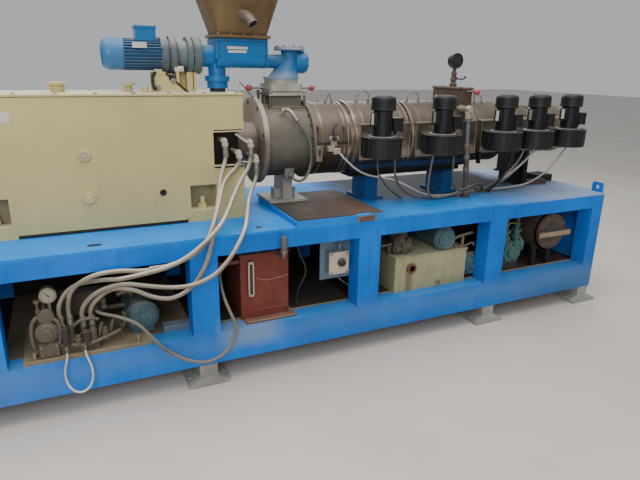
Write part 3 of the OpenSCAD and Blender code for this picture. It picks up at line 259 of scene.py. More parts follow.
paints = {
    "bed_blue": {"colours": "006fd2 005db4 044f90 2a6ea8 3f98dc 4a4038", "coat": 0.04, "shine": 0.25, "streaks": 0.35, "grime": 0.3, "chips": 0.735, "patches": [("6f8291", 0.6, 0.03, (("X", -0.9, -2.0), ("Z", 0.36, 0.14))), ("2f5670", 0.65, 0.03, (("X", 1.1, 1.9), ("Z", 0.36, 0.16))), ("8f9fa8", 0.55, 0.012, (("X", -0.36, -0.28), ("X", 0.0, -0.1), ("Z", 0.14, 0.2), ("Z", 0.36, 0.28))), ("5c7f9f", 0.35, 0.04, (("Z", 0.1, 0.2), ("Z", 0.3, 0.22)))]},
    "case_beige": {"colours": "bdb078 b0a471 9c9168 a69a72 e6dcc6 5e5340", "coat": 0.15, "shine": 0.35, "streaks": 0.25, "grime": 0.2, "chips": 0.78, "dustAndLightTop": 0.9, "dustAndLightLow": 0.6, "gloss": 0.38},
    "drive_blue": {"colours": "0866ac 0a568c 235273 2a6388 86adc2 6b6a66", "coat": 0.12, "shine": 0.35, "streaks": 0.2, "grime": 0.35, "chips": 0.745, "dustAndLightTop": 0.7, "gloss": 0.3},
    "guard_yellow": {"colours": "b7ab83 a89d76 95896a 8d8467 d3c9b2 6a5b45", "coat": 0.15, "grime": 0.3, "chips": 0.76},
    "floor_tan": {"colours": "85775c 6b5f4b 4c4032 3f372c a4967a 3e2f22", "grime": 0.7, "chips": 0.66, "dustAndLightTop": 0.7, "dull": 0.85, "gloss": 0.6},
    "tank_maroon": {"colours": "6e342b 5f2b25 4a211b 7d5144 a08475 3a2019", "shine": 0.3, "streaks": 0.55, "chips": 0.73, "dustAndLightTop": 0.6, "dull": 0.8, "gloss": 0.55},
    "vent_brown": {"colours": "54433a 44362f 2e2622 6a5a4e 85766a 5f4636", "dustAndLightTop": 0.6, "dull": 0.75, "gloss": 0.5},
    "rusty_plate": {"colours": "4c423c 3e3631 3b302a 352c28 5d534b 4e3324", "shine": 0.3, "grime": 0.55, "chips": 0.64, "dustAndLightTop": 0.5, "dull": 0.8, "gloss": 0.55, "patches": [("6b5443", 0.6, 0.05, (("X", 0.28, 0.4),)), ("3c3a38", 0.6, 0.05, (("X", 0.16, 0.08),))]},
    "blower_black": {"colours": "131416 0c0d0e 1a1b1d 232221 6a6967 4b4a48", "coat": 0.1, "shine": 0.35, "grime": 0.25, "chips": 0.78, "dustAndLightTop": 0.5, "dustAndLightLow": 0.2, "dull": 0.6, "gloss": 0.4},
    # the black of oily plugs and seams, also used as painted shade inside the recess, slits and openings
    "oil_black_and_painted_shade": {"colours": "14110e 0c0a09 1d1813 231d17 3a3228 2a241e", "grime": 0.3, "chips": 0.8, "dustAndLightTop": 0.6, "dull": 0.8, "gloss": 0.55},
    "pocket_dark": {"colours": "8f8768 7b7459 575040 4d4738 a59c80 5e5340", "coat": 0.15, "grime": 0.6, "chips": 0.78},
    # disc_brown's light patch on the flange disc's top is a painted highlight from the light above
    "disc_brown": {"colours": "6a5f57 574d46 3b322c 847970 a89c92 332a24", "streaks": 0.5, "chips": 0.74, "dull": 0.75, "gloss": 0.5, "patches": [("aea396", 0.85, 0.02, (("Z", 1.1, 1.17),))]},
    # beam colours: near black for the painted shade under the barrel, blue paint only on the rail's face above Z 0.92
    "beam_blue_painted_shade": {"colours": "0b0f14 0a0c10 16130f 1c1b1a 33312e 2c2824", "shine": 0.3, "grime": 0.6, "chips": 0.72, "dull": 0.75, "gloss": 0.5, "patches": [("0d3157", 0.9, 0.004, (("Z", 0.918, 0.924), ("Y", 0.0, -0.05)))]},
    # near-black back panels of the bays: painted shade where the bays' backs lie in shadow
    "bay_painted_shade": {"colours": "16140f 0f0e0b 221c14 2a241b 3b3428 2a241e", "grime": 0.6, "chips": 0.8, "dull": 0.9, "gloss": 0.7},
    "cast_dark": {"colours": "353230 292725 1e1b19 4a443e 7e766c 5e5952", "dull": 0.7, "gloss": 0.45},
    "drive_dusty": {"colours": "1d659c 18507e 355a75 486a80 8fa6b0 77746e", "coat": 0.05, "shine": 0.35, "grime": 0.45, "chips": 0.74, "dustAndLightTop": 0.85, "dustAndLightLow": 0.45, "gloss": 0.4},
    "knob_red": {"colours": "b04448 9a3a3c 5f2a26 8a6a62 b39a92 4b2522", "coat": 0.2, "grime": 0.4, "chips": 0.8, "dustAndLightLow": 0.4, "gloss": 0.3},
    "plate_bare": {"colours": "c8c5bc b3afa5 948d80 8d867a cfcbc1 77726a", "coat": 0.15, "grime": 0.4, "chips": 0.77, "gloss": 0.35},
    "plate_grey": {"colours": "85847f 74736e 5d5a54 57544e 9b9992 57544f", "coat": 0.15, "chips": 0.77, "gloss": 0.35},
    "fitting_cream": {"colours": "b3ab96 9d957f 7a705c 73695a bdb39e 5d5245", "chips": 0.76, "gloss": 0.45, "patches": [("bdb078", 1.0, 0.002, (("Z", 0.93, 0.91),))]},
    "fitting_grey": {"colours": "aaa291 857c6d 40382e 4d4439 cfc7b5 4d4438", "streaks": 0.4, "grime": 0.85, "gloss": 0.45},
    "cream_paint": {"colours": "b3ab96 9d957f 7a705c 73695a bdb39e 5d5245", "streaks": 0.5, "grime": 0.6, "chips": 0.74, "gloss": 0.45},
    "panel_grey": {"colours": "5d7482 4d636f 3e4a50 65665e 8d9190 5a5650", "coat": 0.05, "grime": 0.6, "chips": 0.75},
    "dial_face": {"colours": "968f7f 7d7667 857b69 7c725f b5ad9c 6b6151", "coat": 0.15, "grime": 0.6, "chips": 0.8, "gloss": 0.3},
    "blower_dusty": {"colours": "1b1c1e 141517 252524 343331 96938d 5c5a56", "coat": 0.05, "shine": 0.35, "grime": 0.4, "chips": 0.78, "dustAndLightTop": 0.95, "dustAndLightLow": 0.6, "dull": 0.65, "gloss": 0.4},
    "vent_dusty": {"colours": "6a574c 5a4a40 43362f 7d6f63 a8988c 5f4636", "chips": 0.72, "dustAndLightTop": 0.9, "dustAndLightLow": 0.6, "dull": 0.8, "gloss": 0.55},
    "pipe_brown": {"colours": "6b5f50 574d41 3d342a 7a6e5c 97896f 8a7c68", "grime": 0.6, "dull": 0.75, "gloss": 0.5},
    "tank_bead": {"colours": "8f5348 7c463c 5e332c 9a776a b39b8c 4b2c25", "chips": 0.75},
    "rust_port": {"colours": "6b4330 573525 3e2519 7d5a42 8f7459 2f1c13", "grime": 0.6, "chips": 0.68, "dull": 0.9, "gloss": 0.7},
    "plank_light": {"colours": "94826a 7e6e58 5f5140 6e5f4b a8967c 4a3c2c", "chips": 0.74, "dull": 0.85, "gloss": 0.65},
    # deck_blue's last two patches darken the deck behind and under the barrel: painted shade of the barrel with some
    # grime, near black under it
    "deck_blue": {"colours": "0a7ad8 1170c4 1d5f9a 3f74a6 2f9bf0 5a5048", "shine": 0.12, "chips": 0.72, "dustAndLightTop": 0.75, "dustAndLightLow": 0.25, "patches": [("3f6fa6", 0.6, 0.1, (("X", 0.6, 1.2), ("Y", -0.42, -0.25))), ("97a6c0", 0.88, 0.1, (("X", 1.3, 1.8),)), ("2c3c52", 0.8, 0.05, (("Y", -0.26, -0.1), ("X", 0.5, 0.85), ("X", 1.85, 1.6))), ("0d0a08", 0.95, 0.05, (("Y", -0.14, 0.0), ("X", 0.45, 0.7), ("X", 1.9, 1.7)))]},
    "gear_dusty": {"colours": "52666f 43555f 384249 6b6f6c a9adaa 77746c", "shine": 0.35, "grime": 0.6, "dustAndLightTop": 0.9, "dustAndLightLow": 0.5, "dull": 0.75, "gloss": 0.5},
    "motor_dusty": {"colours": "225a88 1d4b70 33485a 4f5d66 8d9aa2 5d5f60", "coat": 0.05, "shine": 0.35, "grime": 0.6, "chips": 0.74, "dustAndLightLow": 0.4, "patches": [("2f6fa8", 0.7, 0.005, (("X", -0.61, -0.62),))]},
    "tank_olive": {"colours": "9c9a76 8b896a 6f6a50 77715a b9b49a 4f4634", "shine": 0.35, "streaks": 0.6, "grime": 0.55, "chips": 0.735, "dustAndLightTop": 0.85, "dustAndLightLow": 0.5, "gloss": 0.45, "patches": [("6a5230", 0.7, 0.004, (("X", 0.728, 0.746), ("X", 0.79, 0.772), ("Z", 0.4, 0.385)))]},
    "pump_mixed": {"colours": "3a6263 2d4f51 2c3633 4c4a40 85867a 3d3a33", "grime": 0.65, "chips": 0.69, "dustAndLightTop": 0.75, "gloss": 0.45, "patches": [("57524a", 0.9, 0.01, (("X", 0.87, 0.85),))]},
    "chute_blue": {"colours": "1a639c 16507e 305772 3f6680 84a0ad 77746e", "coat": 0.05, "shine": 0.35, "grime": 0.4, "chips": 0.74, "dustAndLightTop": 0.7, "gloss": 0.35, "patches": [("a89e9a", 0.85, 0.002, (("Z", 1.53, 1.534),)), ("8d9aa2", 0.6, 0.012, (("Z", 1.435, 1.4),))]},
    "bay_floor": {"colours": "7a6d58 554a3b 3d3327 342c22 857860 3e2f22", "shine": 0.3, "grime": 0.7, "chips": 0.66, "dustAndLightTop": 0.6, "dull": 0.9, "gloss": 0.7, "patches": [("33302b", 0.92, 0.02, (("X", -0.36, -0.3), ("X", 1.28, 1.24))), ("3b2f26", 0.9, 0.03, (("X", 1.3, 1.36),))]},
    # vacuum_brown's near-black patch at the bottom is painted shade under the pump
    "vacuum_brown": {"colours": "4f4037 40342d 2b2420 625348 7d6f63 5f4636", "dustAndLightTop": 0.6, "dull": 0.8, "gloss": 0.55, "patches": [("140f0c", 0.97, 0.01, (("Z", 0.405, 0.375),))]},
    "circulation_teal": {"colours": "2f6a66 255450 2c3633 5a5547 8a8b7c 8a7450", "coat": 0.05, "grime": 0.6, "chips": 0.68, "dustAndLightTop": 0.75, "gloss": 0.4, "patches": [("342b21", 0.95, 0.01, (("Z", 0.335, 0.31),))]},
    "motor_teal": {"colours": "3c5f66 304d54 2a3538 55584f 8d9186 5b5a4e", "grime": 0.7, "chips": 0.66, "gloss": 0.4},
    "valve_brown": {"colours": "574e43 453d34 3b342c 665d4e 857a66 8a7f6b", "grime": 0.7, "chips": 0.68, "dustAndLightLow": 0.4, "dull": 0.8, "gloss": 0.5},
    # stands: near black for the painted shade under the barrel, with blue paint on the first stands
    "stand_painted_shade": {"colours": "191a1c 111213 211f1d 2d2a27 4f4b46 4a4640", "shine": 0.3, "grime": 0.4, "chips": 0.75, "dull": 0.75, "gloss": 0.5, "patches": [("17528c", 0.85, 0.006, (("X", 1.3, 1.28), ("Z", 0.9, 0.84)))]},
    "sleeve_black": {"colours": "232322 191918 2c2a28 3b3835 5f5b56 2a2a2a", "grime": 0.3, "chips": 0.8, "gloss": 0.45},
    "gauge_white": {"colours": "cfcdc6 b9b6ad 8f8b80 8a857a a39d90 6e6a62", "coat": 0.15, "grime": 0.3, "chips": 0.78},
}
metals = {
    "plated_steel": {"colours": "8f8c84 716d65 554c41 3f362d a59b8b", "metallic": 0.75, "dull": 0.55, "gloss": 0.33},
    # cast_grey's patch darkens the throat below its middle: painted shade
    "cast_grey": {"colours": "6b665c 4f4b44 37332f 2b2622 9a9186", "metallic": 0.2, "dustAndLightTop": 0.8, "grain": 0.006, "dull": 0.72, "gloss": 0.5, "relief": 0.35, "depth": 0.0008, "patches": [("35322d", 0.6, 0.04, (("Z", 1.08, 0.95),))]},
    "bright_plate": {"colours": "c9c6bf b1ada5 8b8478 7c7468 d5cfc4", "metallic": 0.85, "stains": 0.3, "dull": 0.45, "gloss": 0.28},
    "stainless": {"colours": "a59a8c 83786b 5c4e40 4d4135 b5a999", "metallic": 0.85, "stains": 0.7, "dustAndLightTop": 0.35, "grain": 0.003, "grainRun": (0.05, 1, 1), "dull": 0.42, "gloss": 0.24},
    "barrel_steel": {"colours": "6f6c68 55524e 453c33 3a2e25 8a8177", "metallic": 0.85, "dull": 0.5, "gloss": 0.3},
    "zinc": {"colours": "aaa69b 8e897e 665d50 554a3d b8b1a2", "dull": 0.5, "gloss": 0.28},
    "zinc_dull": {"colours": "8d8980 736f66 534b40 43392e a69e90", "metallic": 0.6, "gloss": 0.38},
    "rim_light": {"colours": "a0988c 847b70 584e44 4a4036 a79d90", "grainRun": (1, 1, 0.05), "dull": 0.46, "gloss": 0.26},
    "rim_dull": {"colours": "8c8276 71675c 51463b 44392f 9c9183", "dull": 0.5, "gloss": 0.3},
    "gate_grey": {"colours": "a8a69c 8f8d84 6b675e 57524a bdb9ae", "metallic": 0.25, "dull": 0.65, "gloss": 0.45},
    # gear_grey's top colour is painted light on the rims' upper faces, with dust
    "gear_grey": {"colours": "77756f 5b5a56 3d3a36 2d2a27 b1aca2", "metallic": 0.45, "dustAndLightTop": 0.9},
    "weld_light": {"colours": "8f877b 6f675d 4b433b 3b332c a79d8f", "metallic": 0.5, "dull": 0.65},
    "brass_dull": {"colours": "8a774f 6f5f3f 4c412c 3c3222 9b8b6b", "dull": 0.55, "gloss": 0.3},
    # cover_brown's patches darken the covers' lower halves: painted shade under the barrel
    "cover_brown": {"colours": "74695c 584e44 40352b 352b22 92877a", "metallic": 0.6, "stains": 0.85, "dustAndLightTop": 0.3, "grain": 0.003, "grainRun": (1, 1, 0.05), "patches": [("33281f", 0.7, 0.03, (("Z", 1.09, 0.99), ("X", 0.5, 0.46))), ("3a2f27", 0.45, 0.03, (("Z", 1.1, 0.95),))]},
    "hopper_brown": {"colours": "7a6545 5f4d37 4b3b29 41331f 9a876c", "metallic": 0.45, "stains": 0.7, "dull": 0.55, "gloss": 0.36},
    "port_grey": {"colours": "5e5b53 4b4841 35312b 2c2823 8b8578", "metallic": 0.4},
    "pipe_vent": {"colours": "74767a 5f6064 4a4642 3a342e 8a857c", "metallic": 0.5, "patches": [("4f4338", 0.8, 0.01, (("Z", 0.98, 0.94),)), ("a39a86", 0.8, 0.004, (("Z", 1.2, 1.21),))]},
    "case_boss": {"colours": "c4b98f a89d76 6b5f46 554a37 d8cda6", "metallic": 0.1},
    "dark_glass": {"colours": "2b241b 1f1a14 3a3022 4a3d2b 5c5140", "metallic": 0.0, "dull": 0.3, "gloss": 0.1, "relief": 0.02},
    "foot_steel": {"colours": "a3a39d 878781 67615a 544c44 aeaaa0", "metallic": 0.3, "dull": 0.7, "gloss": 0.5},
}


def braidHeight(f, strands):
    # two sets of strands that wind round the hose in opposite directions, one over the other
    split = f.add("ShaderNodeSeparateXYZ")
    f.join(f.coords.outputs["UV"], split.inputs[0])
    waves = []
    for sign in (1, -1):
        turn = f.maths("ADD", f.maths("MULTIPLY", split.outputs["X"], strands * 2 * math.pi), f.maths("MULTIPLY", split.outputs["Y"], sign * strands * 2 * math.pi))
        waves.append(f.maths("ABSOLUTE", f.maths("SINE", f.maths("MULTIPLY", turn, 0.5), 0), 0))
    return f.maths("MAXIMUM", *waves)


# the same for a hose or cable
usualHose = {"metallic": 0.0, "strands": 12, "relief": 0.35}


def hoseFinish(name, s):
    # covered hose: braid wound both ways round it, chafed patches, and a lighter colour where it faces up: dust with
    # painted light from above
    s = usualHose | s
    base, shade, stain, dustAndTopLight = s["colours"].split()
    f = Finish(name, metallic=s["metallic"])
    tone = f.blend(f.band(f.noise(0.05, 6), 0.35, 0.7), base, shade)
    tone = f.blend(f.band(f.noise(0.16, 6, rough=0.7), 0.5, 0.72, 0.7), tone, stain)
    up = f.band(f.facing(), 0.2, 0.9, 0.6)
    # the upper side blends to the top colour: dust and painted top light
    f.colour(f.blend(up, tone, dustAndTopLight))
    f.roughness(f.band(f.noise(0.03, 4), 0.3, 0.7, 0.75, 0.5))
    f.bump(braidHeight(f, s["strands"]), s["relief"], 0.0005)
    return f.material


hoses = {
    "hose_dark": {"colours": "5d5a54 484540 34302c 77726a", "strands": 9, "relief": 0.6},
    # hose_grey's pale top colour is painted light on the hoses' upper sides, with dust
    "hose_grey": {"colours": "8d8473 716a5c 554e42 ece0cd"},
    "hose_tan": {"colours": "777064 625c52 48433b 8f887a"},
    "hose_white": {"colours": "c9c6bb aeaaa0 8a8578 d8d4c8"},
    "cable_grey": {"colours": "76726a 5f5b54 45413a 9c968b"},
    "cable_brown": {"colours": "5e564c 4c463f 38322c 7d7366"},
    "cable_black": {"colours": "1d1c1b 151514 2b2825 57534d"},
    "cable_light": {"colours": "b5b1a7 9d998f 7c776c cbc6bb"},
}
finishes = {name: paintFinish(name, s) for name, s in paints.items()}
finishes.update({name: metalFinish(name, s) for name, s in metals.items()})
finishes.update({name: hoseFinish(name, s) for name, s in hoses.items()})
slotOf = {row["node"]: row["material_slot"] for row in frame["record"]["subparts"]}
ownFinish = {"barrel_beam": "beam_blue_painted_shade", "output_flange": "disc_brown", "bay_back_panels": "bay_painted_shade", "bed_cross_members": "beam_blue_painted_shade",
             "feeder_chute": "chute_blue", "valve_block": "panel_grey", "slide_gate": "gate_grey", "barrel_stands": "stand_painted_shade",
             "feeder_gearbox": "gear_dusty", "feeder_motor": "motor_dusty", "bed_deck": "deck_blue", "deck_pad": "deck_blue",
             "barrel_covers": "cover_brown", "hopper": "hopper_brown", "feed_port_plate": "port_grey", "water_tank": "tank_olive",
             "water_pumps": "pump_mixed", "bay_floor_plates": "bay_floor", "vacuum_pump": "vacuum_brown", "circulation_pump": "circulation_teal",
             "oil_pump_motor": "motor_teal", "pump_valve_unit": "valve_brown", "vent_pipe": "pipe_vent", "gearbox_fittings": "fitting_cream"}
for nodeName, nodeObject in nodes.items():
    for holder in nodeObject.material_slots:
        holder.material = finishes[ownFinish.get(nodeName, slotOf[nodeName])]
print("finishes made,", len(finishes))


# ---- shapes, in millimetres: each is (points, faces, places on the surface or None)

def gridFaces(rows, columns):
    # quads between neighbouring rings of a grid whose columns close on themselves
    i, j = (a.ravel() for a in np.meshgrid(np.arange(rows - 1), np.arange(columns), indexing="ij"))
    k = (j + 1) % columns
    return np.stack([i * columns + j, i * columns + k, (i + 1) * columns + k, (i + 1) * columns + j], -1)


def capped(rings, along=None):
    # rings of points joined by quads, with a flat face over the first and the last ring
    rows, columns = rings.shape[:2]
    faces = gridFaces(rows, columns).tolist()
    faces += [list(range(columns))[::-1], list(range((rows - 1) * columns, rows * columns))]
    if along is None:
        return rings.reshape(-1, 3), faces, None
    i, j = (a.ravel() for a in np.meshgrid(np.arange(rows - 1), np.arange(columns), indexing="ij"))
    around = np.stack([j, j + 1, j + 1, j], -1).ravel() / columns
    length = along[np.stack([i, i, i + 1, i + 1], -1).ravel()]
    surface = np.concatenate([np.stack([around, length], -1), np.zeros((2 * columns, 2))])
    return rings.reshape(-1, 3), faces, surface


def crossAxes(axis):
    # two directions square to an axis and to each other
    w = np.asarray(axis, float) / np.linalg.norm(axis)
    u = np.cross(w, (0, 0, 1) if abs(w[2]) < 0.9 else (1, 0, 0))
    u /= np.linalg.norm(u)
    return u, np.cross(w, u), w


def turned(profile, place, axis=(0, 0, 1), sides=32, turn=0.0):
    # a profile of (along, radius) turned round the axis: place + along * w + radius * (cos t * u + sin t * v)
    u, v, w = crossAxes(axis)
    p = np.asarray(profile, float)
    t = np.linspace(0, 2 * np.pi, sides, endpoint=False) + turn
    ring = np.cos(t)[:, None] * u + np.sin(t)[:, None] * v
    rings = np.asarray(place, float) + p[:, 0, None, None] * w + p[:, 1, None, None] * ring
    if min(p[0, 1], p[-1, 1]) < 0.5:
        return capped(rings)
    # a profile that stays off the axis closes on itself, as a ring does
    return rings.reshape(-1, 3), (gridFaces(len(p) + 1, sides) % (len(p) * sides)).tolist(), None


def slab(low, high, edge=2.0, steps=3):
    # a box with rounded edges: corner circles of radius edge * cos b, at heights half - edge + edge * sin b
    low, high = np.minimum(low, high).astype(float), np.maximum(low, high).astype(float)
    half, middle = (high - low) / 2, (high + low) / 2
    edge = min(edge, half.min() * 0.95)
    t = (np.repeat(np.arange(4), steps + 1) + np.tile(np.linspace(0, 1, steps + 1), 4)) * np.pi / 2
    quarter = np.repeat(np.arange(4), steps + 1) * np.pi / 2 + np.pi / 4
    corner = np.sign(np.stack([np.cos(quarter), np.sin(quarter)], -1)) * (half[:2] - edge)
    b = np.linspace(-np.pi / 2, np.pi / 2, 2 * steps)
    flat = corner + edge * np.cos(b)[:, None, None] * np.stack([np.cos(t), np.sin(t)], -1)
    height = np.where(b < 0, -1, 1) * (half[2] - edge) + edge * np.sin(b)
    rings = np.concatenate([flat, np.broadcast_to(height[:, None, None], flat.shape[:2] + (1,))], -1)
    return capped(middle + rings)


def plate(outline, place, across, up, thick, edge=1.0):
    # an outline of (across, up) points carried through the thickness, drawn in by edge at both faces
    flat = np.asarray(outline, float)
    side = np.roll(flat, -1, 0) - flat
    side /= np.linalg.norm(side, axis=1)[:, None]
    out = np.stack([side[:, 1], -side[:, 0]], -1)
    corner = out + np.roll(out, 1, 0)
    corner /= np.maximum((corner * out).sum(1), 0.3)[:, None]
    area = (flat[:, 0] * np.roll(flat[:, 1], -1) - flat[:, 1] * np.roll(flat[:, 0], -1)).sum()
    corner *= np.sign(area)
    across, up = (np.asarray(d, float) / np.linalg.norm(d) for d in (across, up))
    levels = [(0, edge), (edge, 0), (thick - edge, 0), (thick, edge)]
    rings = [place + (flat - corner * d)[:, 0, None] * across + (flat - corner * d)[:, 1, None] * up
             + h * np.cross(across, up) for h, d in levels]
    return capped(np.array(rings))


def smoothRoute(route, step=6.0):
    # a curve through every point, each stretch a cubic whose ends lean along the neighbouring points
    p = np.asarray(route, float)
    p = np.vstack([2 * p[0] - p[1], p, 2 * p[-1] - p[-2]])
    t = np.linspace(0, 1, 24, endpoint=False)[None, :, None]
    a, b, c, d = (p[i:len(p) - 3 + i, None] for i in range(4))
    curve = 0.5 * (2 * b + (c - a) * t + (2 * a - 5 * b + 4 * c - d) * t ** 2 + (3 * b - a - 3 * c + d) * t ** 3)
    curve = np.vstack([curve.reshape(-1, 3), p[-2]])
    run = np.concatenate([[0], np.cumsum(np.linalg.norm(np.diff(curve, axis=0), axis=1))])
    even = np.linspace(0, run[-1], max(int(run[-1] / step), 4) + 1)
    return np.stack([np.interp(even, run, curve[:, k]) for k in range(3)], -1)


def tube(path, radius, sides=16, ribs=0.0, pitch=6.0):
    # a round section carried along a path; its start is square to a direction that the path never takes
    p = np.asarray(path, float)
    way = np.gradient(p, axis=0)
    way /= np.linalg.norm(way, axis=1)[:, None]
    trial = np.array([(x, y, z) for x in (-1, 0, 1) for y in (-1, 0, 1) for z in (0, 1) if (x, y, z) != (0, 0, 0)], float)
    trial /= np.linalg.norm(trial, axis=1)[:, None]
    ref = trial[np.abs(way @ trial.T).max(0).argmin()]
    u = np.cross(way, ref)
    u /= np.linalg.norm(u, axis=1)[:, None]
    v = np.cross(way, u)
    run = np.concatenate([[0], np.cumsum(np.linalg.norm(np.diff(p, axis=0), axis=1))])
    r = radius + ribs * np.sign(np.sin(run * 2 * np.pi / pitch)) if ribs else np.full(len(p), float(radius))
    t = np.linspace(0, 2 * np.pi, sides, endpoint=False)[None, :, None]
    rings = p[:, None] + r[:, None, None] * (np.cos(t) * u[:, None] + np.sin(t) * v[:, None])
    return capped(rings, run / (2 * np.pi * radius))


def pipe(route, radius, sides, step=4, ribs=0.0, pitch=6.0):
    # a round section along the smooth curve through a route
    return tube(smoothRoute(route, step), radius, sides, ribs, pitch)


def repeated(shape, places, axis=(0, 0, 1)):
    # the same shape, made along Z at the origin, stood at each place along the axis
    points, faces, _ = shape
    u, v, w = crossAxes(axis)
    stood = points[:, 0, None] * u + points[:, 1, None] * v + points[:, 2, None] * w
    return [(stood + np.asarray(q, float), faces, None) for q in places]


def spun(profile, place, axis=(0, 0, 1), sides=32, turn=0.0):
    # a full turned shape: flat faces close the profile's two ends down to the axis
    ends = [(profile[0][0], 0.1)], [(profile[-1][0], 0.1)]
    return turned(ends[0] + list(profile) + ends[1], place, axis, sides, turn)


def boltHead(size=7.0, high=5.0, washer=0.0):
    # a hexagon head with a turned-off crown on a round washer
    low = 1.6 if washer else 0.0
    shapes = [spun([(0, size), (low + high * 0.75, size), (low + high, size * 0.82)], (0, 0, 0), sides=6)]
    if washer:
        shapes.append(spun([(0, washer), (1.2, washer), (1.6, washer - 0.5)], (0, 0, 0), sides=20))
    return merged(shapes)


def merged(shapes):
    # several shapes as one
    points, faces, surface, start = [], [], [], 0
    mapped = any(s[2] is not None for s in shapes)
    for p, f, uv in shapes:
        points.append(p)
        faces += [[k + start for k in face] for face in f]
        if mapped:
            surface.append(np.zeros((sum(map(len, f)), 2)) if uv is None else uv)
        start += len(p)
    return np.concatenate(points), faces, np.concatenate(surface) if mapped else None


def makePiece(name, shapes, finish, stands=(), smooth=32, body="root"):
    # one mesh object from shapes in millimetres, faces turned outwards, ridden and finished
    points, faces, surface = merged(shapes)
    mesh = bpy.data.meshes.new(name)
    mesh.from_pydata((points * 0.001).tolist(), [], faces)
    if surface is not None:
        mesh.uv_layers.new(name="surface").data.foreach_set("uv", surface.ravel())
    work = bmesh.new()
    work.from_mesh(mesh)
    bmesh.ops.recalc_face_normals(work, faces=work.faces)
    work.to_mesh(mesh)
    work.free()
    mesh.polygons.foreach_set("use_smooth", np.ones(len(mesh.polygons), bool))
    mesh.set_sharp_from_angle(angle=math.radians(smooth))
    mesh.materials.append(finishes[finish])
    piece = bpy.data.objects.new(name, mesh)
    bpy.context.scene.collection.objects.link(piece)
    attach(piece, body)
    if stands:
        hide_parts(*stands)
    return piece


# ---- cords: the routes are the ones of the solids, in millimetres

hoseSets = {
    "hose_1": {"radius": 9.5, "length": 1.30, "finish": "hose_grey", "route": [
        (-210, -214, 1090), (-210, -214, 1030), (-250, -260, 950), (-285, -335, 865), (-320, -415, 805), (-350, -480, 745),
        (-377, -502, 666), (-410, -500, 588), (-465, -492, 515), (-545, -478, 475), (-625, -458, 488), (-705, -435, 526),
        (-792, -415, 530), (-872, -400, 460), (-875, -400, 377)]},
    "hose_2": {"radius": 9.5, "length": 1.32, "finish": "hose_grey", "route": [
        (-142, -214, 1030), (-146, -215, 1004), (-166, -221, 979), (-203, -236, 956), (-240, -270, 924), (-272, -330, 885), (-292, -378, 862), (-318, -430, 836), (-352, -484, 784),
        (-402, -517, 712), (-478, -510, 660), (-567, -494, 631), (-658, -486, 623), (-750, -487, 636), (-850, -480, 628),
        (-935, -437, 566), (-960, -400, 480), (-960, -400, 395)]},
    "hose_3": {"radius": 9.5, "length": 1.42, "finish": "hose_grey", "route": [
        (-84, -214, 1080), (-85, -214, 1040), (-95, -220, 998), (-118, -234, 962), (-152, -257, 930), (-212, -330, 870), (-265, -420, 830), (-324, -510, 793),
        (-400, -550, 740), (-478, -558, 687), (-560, -549, 649), (-660, -530, 625), (-752, -493, 603), (-832, -430, 586),
        (-936, -378, 553), (-995, -400, 485), (-995, -400, 395)]},
    "hose_4": {"radius": 9.5, "length": 1.38, "finish": "hose_grey", "route": [
        (-58, -214, 1005), (-58, -214, 936), (-112, -266, 855), (-155, -360, 800), (-195, -455, 758), (-246, -516, 705),
        (-304, -537, 636), (-374, -537, 575), (-466, -524, 541), (-560, -502, 538), (-651, -480, 552), (-745, -454, 564),
        (-845, -430, 532), (-908, -402, 458), (-910, -400, 377)]},
    "return_hose": {"radius": 7.5, "length": 1.18, "finish": "hose_tan", "route": [
        (-850, -318, 430), (-850, -398, 430), (-768, -454, 416), (-697, -473, 378), (-649, -482, 316), (-602, -491, 252),
        (-539, -500, 197), (-473, -506, 160), (-403, -511, 146), (-333, -513, 172), (-282, -508, 232), (-268, -498, 296),
        (-283, -470, 352), (-297, -419, 410), (-300, -370, 476), (-300, -370, 540)]},
    "drain_hose": {"radius": 4.5, "length": 0.44, "finish": "hose_white", "route": [
        (-915, -480, 306), (-912, -482, 275), (-898, -490, 225), (-900, -498, 170), (-925, -503, 128), (-965, -503, 125),
        (-996, -498, 165), (-1002, -490, 225), (-988, -482, 275), (-985, -480, 306)]},
}
